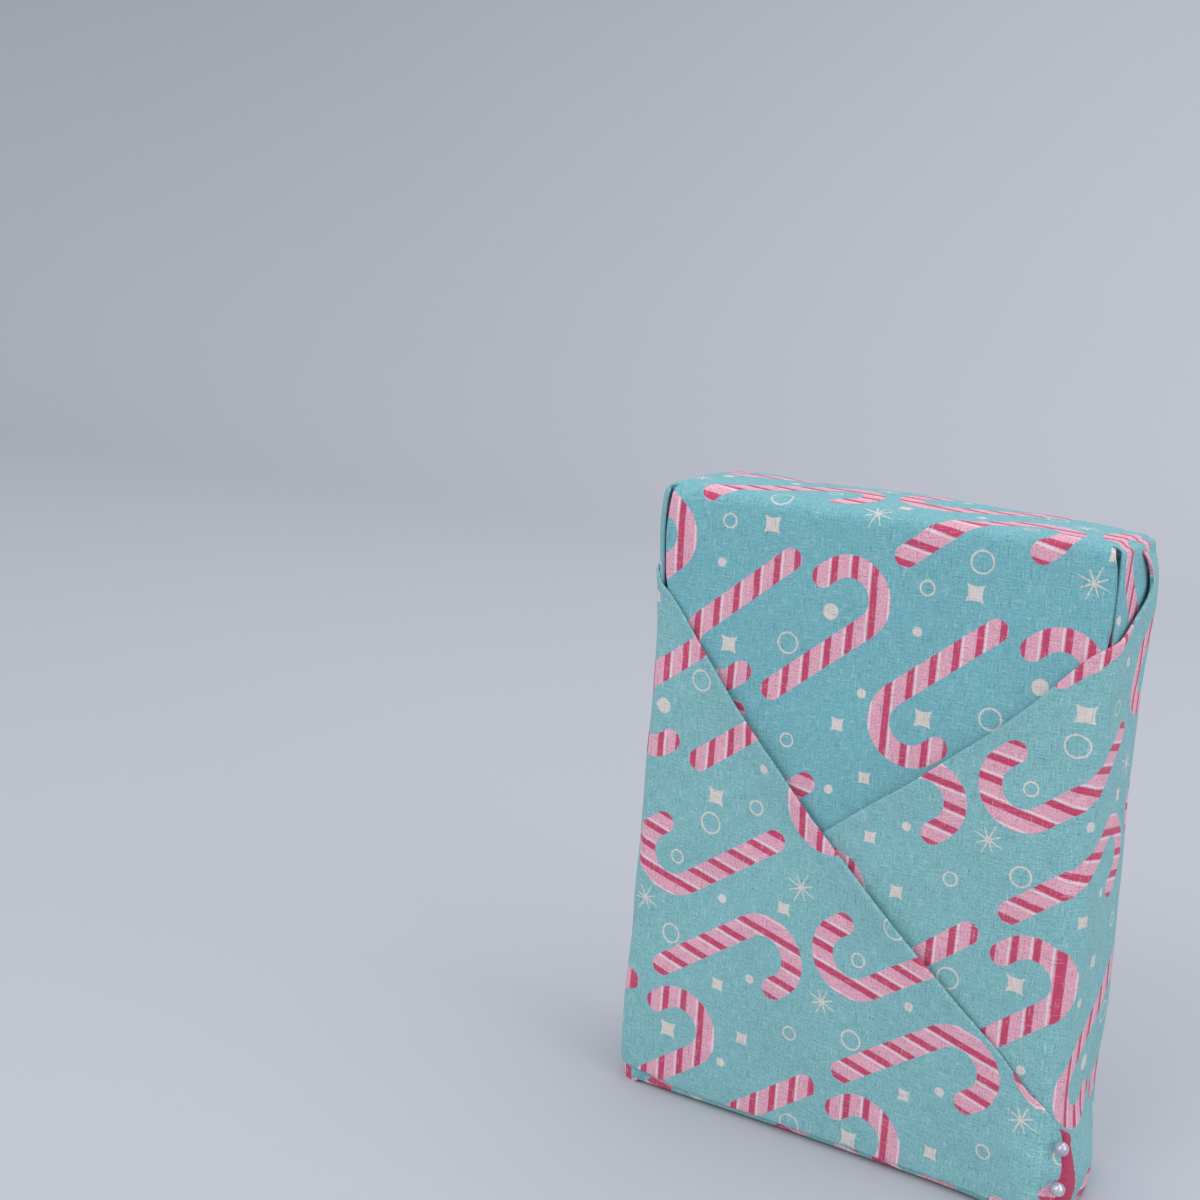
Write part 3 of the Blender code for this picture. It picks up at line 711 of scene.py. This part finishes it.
def hem():
    """The crimson hem of the tip: a closed, closely stitched band round the cloth's edge."""
    rows = spline(HEM_ROWS, np.linspace(0, len(HEM_ROWS) - 1, HEM_STEPS))
    inner, outer = rows[:, None, :2], rows[:, None, 2:]
    steps = np.linalg.norm(np.diff((rows[:, :2] + rows[:, 2:]) / 2, axis=0), axis=1)
    run = np.concatenate(((0.0,), np.cumsum(steps)))[:, None]
    turn = np.linspace(0, 2 * pi, HEM_AROUND, endpoint=False)[None]
    wide, high = np.cos(turn), np.sin(turn)
    across = 0.5 + 0.5 * np.sign(wide) * np.abs(wide) ** HEM_SQUARE
    bulge = np.sign(high) * np.abs(high) ** HEM_FLAT
    stitch = np.abs(np.sin(pi * (run + HEM_SLANT * across) / HEM_STITCH)) - 0.5
    wander = np.sin(run * 900) + np.sin(run * 2300 + 2)
    shoulder = np.sqrt(np.clip(1 - (1 - np.minimum(run / HEM_SHOULDER, 1)) ** 2, 0.02, 1))
    top = FLAP + HEM_RISE
    lift = (HEM_LOW + top) / 2 + bulge * (top - HEM_LOW) / 2 * shoulder
    rough = STITCH_HIGH * stitch + WANDER_HIGH * wander
    lift = lift + rough * np.maximum(bulge, 0) * shoulder
    across = across + (WANDER_WIDE * wander + STITCH_WIDE * stitch) * (across > 0.5)
    spot = inner + (outer - inner) * across[..., None]
    along, height = spot[..., 0], spot[..., 1]
    points = skin(around(along, height), lift + under_left(along, height))
    band = Sheet()
    band.add(points, stack(run + 0 * across, across * HEM_ON_CHART), closed=True)
    piece = band.build("crimson_hem")
    ends = bmesh.new()
    ends.from_mesh(piece.data)
    ends.verts.ensure_lookup_table()
    bmesh.ops.holes_fill(ends, edges=[edge for edge in ends.edges if edge.is_boundary], sides=0)
    bmesh.ops.recalc_face_normals(ends, faces=ends.faces[:])
    ends.to_mesh(piece.data)
    ends.free()
    piece.data.shade_smooth()
    return piece


SMOOTH_UP_TO = radians(50)
PIN_SIDES = 28


def settle(piece, name):
    """Name a new rigid piece and write its place into its mesh."""
    piece.name = piece.data.name = name
    bpy.ops.object.transform_apply(location=True, rotation=True, scale=True)
    bpy.ops.object.shade_smooth_by_angle(angle=SMOOTH_UP_TO)
    return piece


def pin(place, name):
    """The pearl head and the steel shaft of a pin."""
    turn = (-PIN_LEAN).to_track_quat("Z", "Y").to_euler()
    bpy.ops.object.select_all(action="DESELECT")
    bpy.ops.mesh.primitive_uv_sphere_add(segments=2 * PIN_SIDES, ring_count=PIN_SIDES,
                                         radius=PIN_HEAD, location=place, rotation=turn)
    head = settle(bpy.context.object, name + "_head")
    shaft_parts = []
    middle = place + PIN_LEAN * PIN_LENGTH / 2
    bpy.ops.mesh.primitive_cone_add(vertices=PIN_SIDES, radius1=PIN_SHAFT, radius2=PIN_SHAFT,
                                    depth=PIN_LENGTH, location=middle, rotation=turn)
    shaft_parts.append(bpy.context.object)
    middle = place + PIN_LEAN * (PIN_LENGTH + PIN_POINT / 2)
    bpy.ops.mesh.primitive_cone_add(vertices=PIN_SIDES, radius1=PIN_TIP, radius2=PIN_SHAFT,
                                    depth=PIN_POINT, location=middle, rotation=turn)
    shaft_parts.append(bpy.context.object)
    bpy.ops.mesh.primitive_torus_add(location=place + PIN_LEAN * (PIN_HEAD + PIN_COLLAR_OUT),
                                     rotation=turn, major_segments=PIN_SIDES,
                                     minor_segments=12, **PIN_COLLAR)
    shaft_parts.append(bpy.context.object)
    for part in shaft_parts:
        part.select_set(True)
    bpy.ops.object.join()
    shaft = settle(bpy.context.object, name + "_shaft")
    return head, shaft


MILLIMETRES = 1000.0   # in a metre


class Value:
    """A number in a material's nodes that can be reckoned with."""

    def __init__(self, tree, socket):
        self.tree, self.socket = tree, socket

    def math(self, operation, *others):
        node = self.tree.nodes.new("ShaderNodeMath")
        node.operation = operation
        feed(self.tree, node, (self, *others))
        return Value(self.tree, node.outputs[0])

    def __add__(self, other):
        return self.math("ADD", other)

    def __sub__(self, other):
        return self.math("SUBTRACT", other)

    def __mul__(self, other):
        return self.math("MULTIPLY", other)

    def least(self, other):
        return self.math("MINIMUM", other)

    def most(self, other):
        return self.math("MAXIMUM", other)

    def size(self):
        return self.math("ABSOLUTE")

    def folded(self, half):
        return self.math("WRAP", half, -half)

    def reach(self, other):
        """Length of the two numbers as a vector."""
        return (self * self + other * other).math("SQRT")

    def step(self, start, end, low=0.0, high=1.0):
        """A smooth step from low, at start, to high, at end."""
        node = self.tree.nodes.new("ShaderNodeMapRange")
        node.interpolation_type = "SMOOTHSTEP"
        feed(self.tree, node, (self, start, end, low, high))
        return Value(self.tree, node.outputs[0])


def feed(tree, node, values):
    """Fill a node's inputs in order with links or numbers; None leaves one as it is."""
    for socket, value in zip(node.inputs, values):
        if isinstance(value, Value):
            tree.links.new(value.socket, socket)
        elif value is not None:
            socket.default_value = value


def vector(tree, operation, *values):
    node = tree.nodes.new("ShaderNodeVectorMath")
    node.operation = operation
    feed(tree, node, values)
    scalar = operation in ("DOT_PRODUCT", "LENGTH")
    return Value(tree, node.outputs["Value" if scalar else "Vector"])


def plane_parts(tree, place):
    """The first two coordinates of a place."""
    node = tree.nodes.new("ShaderNodeSeparateXYZ")
    tree.links.new(place.socket, node.inputs[0])
    return Value(tree, node.outputs[0]), Value(tree, node.outputs[1])


def piece_place(tree):
    """Places on a piece in millimetres."""
    node = tree.nodes.new("ShaderNodeTexCoord")
    return vector(tree, "SCALE", Value(tree, node.outputs["Object"]), None, None, MILLIMETRES)


def noise(tree, place, scale, detail, roughness, colour=False):
    node = tree.nodes.new("ShaderNodeTexNoise")
    tree.links.new(place.socket, node.inputs["Vector"])
    node.inputs["Scale"].default_value = scale
    node.inputs["Detail"].default_value = detail
    node.inputs["Roughness"].default_value = roughness
    return Value(tree, node.outputs["Color" if colour else "Fac"])


def mixed(tree, share, first, second, blend_type="MIX"):
    """A colour between two; each is a Value or a plain colour."""
    node = tree.nodes.new("ShaderNodeMix")
    node.data_type, node.blend_type = "RGBA", blend_type
    colours = [(*one, 1.0) if isinstance(one, tuple) else one for one in (first, second)]
    for index, value in zip((0, 6, 7), (share, *colours)):
        if isinstance(value, Value):
            tree.links.new(value.socket, node.inputs[index])
        else:
            node.inputs[index].default_value = value
    return Value(tree, node.outputs[2])


def from_srgb(text):
    """A linear colour from its six sRGB digits."""
    parts = [int(text[at:at + 2], 16) / 255 for at in (0, 2, 4)]
    return tuple(p / 12.92 if p < 0.04045 else ((p + 0.055) / 1.055) ** 2.4 for p in parts)


def finish_nodes(name, **settings):
    """A new material, with its node tree and shader; settings are its plain numbers."""
    finish = bpy.data.materials.new(name)
    finish.use_nodes = True
    tree = finish.node_tree
    shader = tree.nodes["Principled BSDF"]
    for label, number in settings.items():
        shader.inputs[label.replace("_", " ")].default_value = number
    return finish, tree, shader


def painted(tree, shader, colour, roughness):
    tree.links.new(colour.socket, shader.inputs["Base Color"])
    tree.links.new(roughness.socket, shader.inputs["Roughness"])


def bumped(tree, shader, height, distance, strength):
    node = tree.nodes.new("ShaderNodeBump")
    node.inputs["Strength"].default_value = strength
    node.inputs["Distance"].default_value = distance
    tree.links.new(height.socket, node.inputs["Height"])
    tree.links.new(node.outputs[0], shader.inputs["Normal"])


# The print's repeat in millimetres, on a chart turned by PRINT_TURN on the cloth.
PRINT_TURN = radians(10)
PRINT_ORIGIN = (0.4049, 0.1019, 0.0)
REPEAT = (64.0, 120.0)
CANES = (
    # across, up, turn in degrees, side that the crook bends to
    (-20.5, 31.0, 230, -1), (24.5, 23.0, 50, -1), (-20.0, -16.0, 49, 1), (0.0, -51.0, 229, 1),
)
CANE_BEND = 9.6        # radius of a cane's crook
CANE_HALF = 3.35       # half its width
CANE_CROOK = -13.5     # where the crook starts along the cane
CANE_FOOT = 23.2       # where its straight part ends
CANE_HOOK = -10.5      # where its hook ends
CANE_STEEP = 10.0      # cuts the crook's ring off where the straight parts begin
STRIPE_WAY = (0.766, 0.643)         # slant of the stripes
STRIPE_HALF = 3.15                  # half the distance from stripe to stripe
STRIPE_MARGIN = 0.6                 # how far past a cane's border its stripes are worked out
RED_STRIPE = {"at": 1.0, "half": 1.0}
WHITE_LINE = {"at": 2.62, "half": 0.28, "share": 0.85}
BURSTS = ((14.5, 106.0, 5.0), (30.0, 75.5, 4.6))
RINGS = (
    (-19.0, 110.0, 3.2), (30.5, 31.5, 3.1), (41.5, 69.0, 2.9),
    (-27.0, 94.0, 2.0), (-6.0, 2.0, 2.1), (23.0, 60.0, 2.0),
)
SQUARES = (
    (-15.0, 38.5, 2.6), (11.0, 97.0, 2.2), (-19.5, -1.0, 2.6), (9.0, 49.5, 2.2), (-3.0, 62.0, 2.1),
)
DOTS = ((20.0, 18.0, 2.4), (6.5, 69.5, 1.4), (-6.5, 15.0, 1.4), (4.5, 38.0, 1.4), (-9.0, 89.0, 1.4))
LINE_HALF = 0.27       # half width of a drawn line
SQUARE_CUT = 5.2       # radius of the curves that draw in a square's sides
SQUARE_DRAWN = 0.55    # how deep they draw them in
BURST_TURN = 0.2       # in radians
BURST_SHORT = 0.8      # length of a burst's short rays beside its long ones
BURST_TAPER = 0.5      # how much thinner a ray is at its end
SOFT = 0.13            # softness of the print's borders
RAGGED = 0.34          # how far the borders follow the threads

# The weave, in millimetres.
THREAD_PITCH = 0.37
WARP_STREAKS = (2.7, 0.22, 1.0)
WEFT_STREAKS = (0.25, 2.7, 1.0)

TEAL = from_srgb("7DBAC4")
TEAL_DOUBLED = from_srgb("8BC0C5")
TEAL_DEEP = from_srgb("4F93A4")
PINK = from_srgb("ECB0C3")
PINK_DEEP = from_srgb("BC7496")
RED = from_srgb("CC4A70")
RED_DEEP = from_srgb("A83259")
WHITE = from_srgb("EBDDE2")
CREAM = from_srgb("E4D6D0")
FLECK = from_srgb("C8DAD8")
THREAD_DARK = from_srgb("2F7486")
CRIMSON = from_srgb("9C2850")
CRIMSON_LIGHT = from_srgb("BE3A64")
CRIMSON_FUZZ = from_srgb("CE5A80")
PEARL_LILAC = from_srgb("B4B2C6")
PEARL_WARM = from_srgb("D2D0D6")
PEARL_DEEP = from_srgb("8E90AC")
STEEL = from_srgb("A9AAB0")
STEEL_LIGHT = from_srgb("D2D2D6")
PAPER = from_srgb("BABDC5")
PAPER_LIGHT = from_srgb("BEC1C9")


def motif(tree, chart, across, up):
    """Places on the chart from the middle of the nearest copy of a motif."""
    apart = vector(tree, "SUBTRACT", chart, (across, up, 0.0))
    half = (REPEAT[0] / 2, REPEAT[1] / 2, 1.0)
    return vector(tree, "WRAP", apart, half, tuple(-one for one in half))


def cane_shapes(tree, chart):
    """Distance to the nearest cane, and the place along its stripes."""
    nearest, stripes = None, None
    for across, up, turn, side in CANES:
        here = motif(tree, chart, across, up)
        way = (cos(radians(turn)), sin(radians(turn)))
        along = vector(tree, "DOT_PRODUCT", here, (*way, 0.0))
        off = vector(tree, "DOT_PRODUCT", here, (-way[1] * side, way[0] * side, 0.0))
        past = along - CANE_CROOK
        shape = (past.reach(off) - CANE_BEND).size() + past.most(0.0) * CANE_STEEP
        for end, bend in ((CANE_FOOT, -CANE_BEND), (CANE_HOOK, CANE_BEND)):
            beyond = along - along.most(CANE_CROOK).least(end)
            shape = shape.least(beyond.reach(off - bend))
        shape = shape - CANE_HALF
        stripe = along * STRIPE_WAY[0] + off * STRIPE_WAY[1]
        stripe = stripe * shape.math("LESS_THAN", STRIPE_MARGIN)
        nearest = shape if nearest is None else nearest.least(shape)
        stripes = stripe if stripes is None else stripes + stripe
    return nearest, stripes


def small_shapes(tree, chart):
    """Distance to the nearest of the cream motifs."""
    shapes = []
    for across, up, radius in RINGS:
        length = vector(tree, "LENGTH", motif(tree, chart, across, up))
        shapes.append((length - radius).size() - LINE_HALF)
    for across, up, radius in DOTS:
        shapes.append(vector(tree, "LENGTH", motif(tree, chart, across, up)) - radius)
    ways = [(cos(PRINT_TURN), sin(PRINT_TURN), 0.0), (-sin(PRINT_TURN), cos(PRINT_TURN), 0.0)]
    for across, up, radius in SQUARES:
        here = motif(tree, chart, across, up)
        first, second = (vector(tree, "DOT_PRODUCT", here, way).size() for way in ways)
        far, near = first.most(second), first.least(second)
        cut = (far - (radius + SQUARE_CUT)).reach(near)
        shapes.append((far - radius).most(cut * -1.0 + (SQUARE_CUT + SQUARE_DRAWN)))
    for across, up, radius in BURSTS:
        here = motif(tree, chart, across, up)
        x, y = plane_parts(tree, here)
        angle = y.math("ARCTAN2", x) + BURST_TURN
        length = vector(tree, "LENGTH", here)
        ray = angle.folded(pi / 8)
        on, off = length * ray.math("COSINE"), (length * ray.math("SINE")).size()
        short, even = (1 - BURST_SHORT) / 2 * radius, (1 + BURST_SHORT) / 2 * radius
        reach = (angle * 4.0).math("COSINE") * short + even
        tapered = off - (on * (-BURST_TAPER / radius) + 1.0) * LINE_HALF
        shapes.append(tapered.most(on - reach))
    nearest = shapes[0]
    for shape in shapes[1:]:
        nearest = nearest.least(shape)
    return nearest


def cotton():
    """Plain-weave cotton, printed in pink, red and cream on a teal ground."""
    finish, tree, shader = finish_nodes(
        "printed_cotton", Roughness=0.9, Specular_IOR_Level=0.25, Sheen_Weight=0.10,
        Sheen_Roughness=0.45)
    uv = tree.nodes.new("ShaderNodeUVMap")
    uv.uv_map = "unfolded"
    unfolded = Value(tree, uv.outputs[0])
    place = vector(tree, "MULTIPLY", unfolded, (MILLIMETRES, MILLIMETRES, 0.0))

    # Threads: streaks along the warp and the weft, thick and thin places, and the weave.
    warp = noise(tree, vector(tree, "MULTIPLY", place, WARP_STREAKS), 1.0, 2.0, 0.6)
    weft = noise(tree, vector(tree, "MULTIPLY", place, WEFT_STREAKS), 1.0, 2.0, 0.6)
    grain = noise(tree, place, 1.9, 3.0, 0.65)
    wide_grain = noise(tree, place, 0.045, 3.0, 0.55)
    u, v = plane_parts(tree, place)
    over = (u * (pi / THREAD_PITCH)).math("SINE") * (v * (pi / THREAD_PITCH)).math("SINE")
    weave = over.size().math("SQRT")

    # The chart, with borders that follow the threads a little.
    ragged = noise(tree, place, 2.6, 1.0, 0.5, colour=True)
    ragged = vector(tree, "SUBTRACT", ragged, (0.5, 0.5, 0.5))
    ragged = vector(tree, "SCALE", ragged, None, None, RAGGED)
    way = MILLIMETRES * cos(PRINT_TURN), MILLIMETRES * sin(PRINT_TURN)
    from_origin = vector(tree, "SUBTRACT", unfolded, PRINT_ORIGIN)
    join = tree.nodes.new("ShaderNodeCombineXYZ")
    feed(tree, join, (
        vector(tree, "DOT_PRODUCT", from_origin, (way[0], -way[1], 0.0)),
        vector(tree, "DOT_PRODUCT", from_origin, (way[1], way[0], 0.0)),
    ))
    chart = vector(tree, "ADD", Value(tree, join.outputs[0]), ragged)

    def inside(shape):
        """1 inside a shape and 0 outside it, from the distance to its border."""
        return shape.step(SOFT, -SOFT)

    def striped(stripe):
        off_stripe = (stripes - stripe["at"]).folded(STRIPE_HALF).size()
        return inside(off_stripe - stripe["half"])

    canes, stripes = cane_shapes(tree, chart)
    in_cane, cream_share = inside(canes), inside(small_shapes(tree, chart))
    red_share, white_share = striped(RED_STRIPE), striped(WHITE_LINE)

    doubled = tree.nodes.new("ShaderNodeAttribute")
    doubled.attribute_name = "doubled"
    ground = mixed(tree, Value(tree, doubled.outputs["Fac"]), TEAL, TEAL_DOUBLED)
    ground = mixed(tree, grain.step(0.46, 0.66, 0.0, 0.62), ground, TEAL_DEEP)
    pink = mixed(tree, grain.step(0.45, 0.66, 0.0, 0.62), PINK, PINK_DEEP)
    red = mixed(tree, grain.step(0.45, 0.70, 0.0, 0.50), RED, RED_DEEP)
    in_colour = mixed(tree, red_share, pink, red)
    in_colour = mixed(tree, white_share * WHITE_LINE["share"], in_colour, WHITE)
    colour = mixed(tree, in_cane, ground, in_colour)
    colour = mixed(tree, cream_share * grain.step(0.40, 0.75, 0.96, 0.70), colour, CREAM)

    # Lighter and darker threads, pale flecks, and painted shade in the hollows between the threads.
    flecks = warp.most(weft).step(0.58, 0.75, 0.0, 0.46)
    colour = mixed(tree, flecks, colour, FLECK)
    dark = warp.least(weft).step(0.40, 0.26, 0.0, 0.46)
    colour = mixed(tree, dark, colour, THREAD_DARK)
    # The threads' streaks and the wide grain are the cloth's own tone. The weave term is painted
    # shade that darkens the hollows between the threads.
    thread_tone_and_hollow_shade = (warp + weft) * 0.36 + wide_grain * 0.14 + weave * 0.14 + 0.46
    bright = tree.nodes.new("ShaderNodeCombineColor")
    feed(tree, bright, (thread_tone_and_hollow_shade, thread_tone_and_hollow_shade, thread_tone_and_hollow_shade))
    colour = mixed(tree, 1.0, colour, Value(tree, bright.outputs[0]), "MULTIPLY")
    painted(tree, shader, colour, grain * 0.12 + 0.82)

    slubs = (warp + weft) * 0.9
    soft_waves = noise(tree, place, 0.16, 2.0, 0.5) * 4.0
    bumped(tree, shader, weave * 0.55 + slubs + grain * 0.5 + soft_waves, 0.00010, 0.75)
    return finish


def thread():
    """Closely stitched crimson thread."""
    finish, tree, shader = finish_nodes(
        "hem_thread", Roughness=0.75, Specular_IOR_Level=0.3, Sheen_Weight=0.15)
    place = piece_place(tree)
    strands = noise(tree, vector(tree, "MULTIPLY", place, (0.7, 0.7, 3.6)), 1.0, 3.0, 0.6)
    fuzz = noise(tree, place, 3.2, 3.0, 0.65)
    colour = mixed(tree, strands.step(0.30, 0.62), CRIMSON, CRIMSON_LIGHT)
    colour = mixed(tree, fuzz.step(0.56, 0.76, 0.0, 0.5), colour, CRIMSON_FUZZ)
    painted(tree, shader, colour, fuzz * 0.3 + 0.6)
    bumped(tree, shader, strands * 0.9 + fuzz * 0.4, 0.00010, 0.6)
    return finish


def pearl():
    """Pearl coating: lilac and warm silver, with deeper clouds."""
    finish, tree, shader = finish_nodes(
        "pearl", Metallic=0.5, Roughness=0.2, Coat_Weight=1.0, Coat_Roughness=0.03,
        Coat_IOR=1.7, Specular_IOR_Level=0.6)
    place = piece_place(tree)
    drift = noise(tree, place, 0.35, 2.0, 0.5)
    cloud = noise(tree, place, 1.6, 2.0, 0.5)
    colour = mixed(tree, drift.step(0.35, 0.65), PEARL_LILAC, PEARL_WARM)
    colour = mixed(tree, cloud.step(0.45, 0.75, 0.0, 0.6), colour, PEARL_DEEP)
    painted(tree, shader, colour, cloud * 0.12 + 0.10)
    return finish


def steel():
    """Bright drawn steel of the pins' shafts."""
    finish, tree, shader = finish_nodes("steel", Metallic=1.0, Roughness=0.25)
    place = piece_place(tree)
    drawn = noise(tree, vector(tree, "MULTIPLY", place, (6.0, 0.6, 6.0)), 1.0, 2.0, 0.5)
    colour = mixed(tree, drawn, STEEL, STEEL_LIGHT)
    painted(tree, shader, colour, drawn * 0.2 + 0.16)
    return finish


def studio_paper():
    """Pale paper of the floor and backdrop."""
    finish, tree, shader = finish_nodes("studio_paper", Roughness=0.95, Specular_IOR_Level=0.1)
    drift = noise(tree, piece_place(tree), 0.0012, 2.0, 0.5)
    colour = mixed(tree, drift, PAPER, PAPER_LIGHT)
    tree.links.new(colour.socket, shader.inputs["Base Color"])
    return finish


# The backdrop's section: a floor from behind the camera, a curve, and a wall.
FLOOR_START = -5.0
FLOOR_END = 1.0
BACKDROP_CURVE = 0.8
BACKDROP_TOP = 3.0
BACKDROP_ACROSS = (-8.0, -1.0, 1.0, 8.0)


def backdrop():
    """Floor that curves up into a backdrop."""
    turn = np.linspace(0, pi / 2, 13)
    y = FLOOR_END + BACKDROP_CURVE * np.sin(turn)
    z = BACKDROP_CURVE - BACKDROP_CURVE * np.cos(turn)
    y = np.concatenate(((FLOOR_START,), y, (FLOOR_END + BACKDROP_CURVE,)))[:, None]
    z = np.concatenate(((0.0,), z, (BACKDROP_TOP,)))[:, None]
    grid = stack(np.array(BACKDROP_ACROSS)[None], y, z)
    paper = Sheet()
    paper.add(grid, grid[..., :2], flip=True)
    return paper.build("backdrop")


# Soft lights round the parcel: where each stands and aims, in metres, its size and its watts.
AT_PARCEL = (0.0, 0.0, 0.1)
LIGHTS = (
    ("above", (0.25, 0.35, 1.3), AT_PARCEL, (1.4, 1.2), 3.1),
    ("wall", (0.3, 0.7, 1.7), (0.3, 1.8, 0.9), (1.6, 0.8), 6.8),
    ("right", (1.1, -0.15, 0.7), AT_PARCEL, (0.9, 0.9), 3.2),
    ("front", (-0.5, -1.3, 0.7), AT_PARCEL, (0.9, 0.9), 2.4),
)

# A window of four panes, which shows as small highlights in the pearls.
WINDOW = Vector((-0.10, -0.80, 0.95))
PANE_ACROSS = 0.09     # half the distance between panes
PANE_UP = 0.11
PANE_AIM = (0.07, -0.02, 0.02)
PANE_SIZE = (0.14, 0.18)
PANE_ENERGY = 0.35
SKY_COLOUR = (0.97, 0.985, 1.0, 1.0)
SKY_STRENGTH = 0.86

# The camera at the photograph's viewing angle: its place, and its turns about X, Y and Z.
CAMERA_PLACE = (0.169178, -0.447375, 0.252688)
CAMERA_TURNS = (78.992, -3.591, 32.019)
CAMERA_LENS = 48
CAMERA_SENSOR = 36
CAMERA_NEAR = 0.01


def soft_light(name, place, aim, size, energy):
    light = bpy.data.objects.new(name, bpy.data.lights.new(name, "AREA"))
    light.data.shape = "RECTANGLE"
    light.data.size, light.data.size_y = size
    light.data.energy = energy
    turn = (Vector(aim) - Vector(place)).to_track_quat("-Z", "Y")
    light.matrix_world = Matrix.Translation(place) @ turn.to_matrix().to_4x4()
    bpy.context.scene.collection.objects.link(light)


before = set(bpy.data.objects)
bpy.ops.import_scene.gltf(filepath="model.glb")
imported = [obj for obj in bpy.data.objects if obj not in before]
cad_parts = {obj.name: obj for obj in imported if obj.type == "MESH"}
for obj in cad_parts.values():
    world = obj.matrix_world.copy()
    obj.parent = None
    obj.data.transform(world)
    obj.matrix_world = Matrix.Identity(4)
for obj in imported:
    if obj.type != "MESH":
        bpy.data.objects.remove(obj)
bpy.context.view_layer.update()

cloth = Sheet()
strip(cloth)
for side in (1, -1):
    pleat_and_ear(cloth, side)
right_flap(cloth)
left_flap(cloth)
furoshiki = cloth.build("furoshiki_cloth")
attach(furoshiki, "root")
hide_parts("furoshiki_wrap")
furoshiki.data.materials.append(cotton())

edging = hem()
edging.data.materials.append(thread())
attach(edging, "root")

pearl_finish, steel_finish = pearl(), steel()
for row in PINS:
    here = np.array((row["around"], row["height"]))[:, None]
    lift = under_left(*here) + FLAP + PIN_HEAD + PIN_LIFT
    middle = Vector(skin(around(*here), lift)[0])
    for piece, finish in zip(pin(middle, row["name"]), (pearl_finish, steel_finish)):
        piece.data.materials.clear()
        piece.data.materials.append(finish)
        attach(piece, "root")
        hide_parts(row["name"])

floor = backdrop()
floor.data.materials.append(studio_paper())

world = bpy.data.worlds.new("studio")
bpy.context.scene.world = world
world.use_nodes = True
sky = world.node_tree.nodes["Background"]
sky.inputs["Color"].default_value = SKY_COLOUR
sky.inputs["Strength"].default_value = SKY_STRENGTH
for row in LIGHTS:
    soft_light(*row)
for across in (-PANE_ACROSS, PANE_ACROSS):
    for up in (-PANE_UP, PANE_UP):
        soft_light("pane", WINDOW + Vector((across, 0, up)), PANE_AIM, PANE_SIZE, PANE_ENERGY)
bpy.context.scene.view_settings.view_transform = "Standard"

camera = bpy.data.objects.new("camera", bpy.data.cameras.new("camera"))
turns = Euler([radians(turn) for turn in CAMERA_TURNS])
camera.matrix_world = Matrix.Translation(CAMERA_PLACE) @ turns.to_matrix().to_4x4()
camera.data.lens = CAMERA_LENS
camera.data.sensor_width = CAMERA_SENSOR
camera.data.clip_start = CAMERA_NEAR
bpy.context.scene.collection.objects.link(camera)
bpy.context.scene.camera = camera
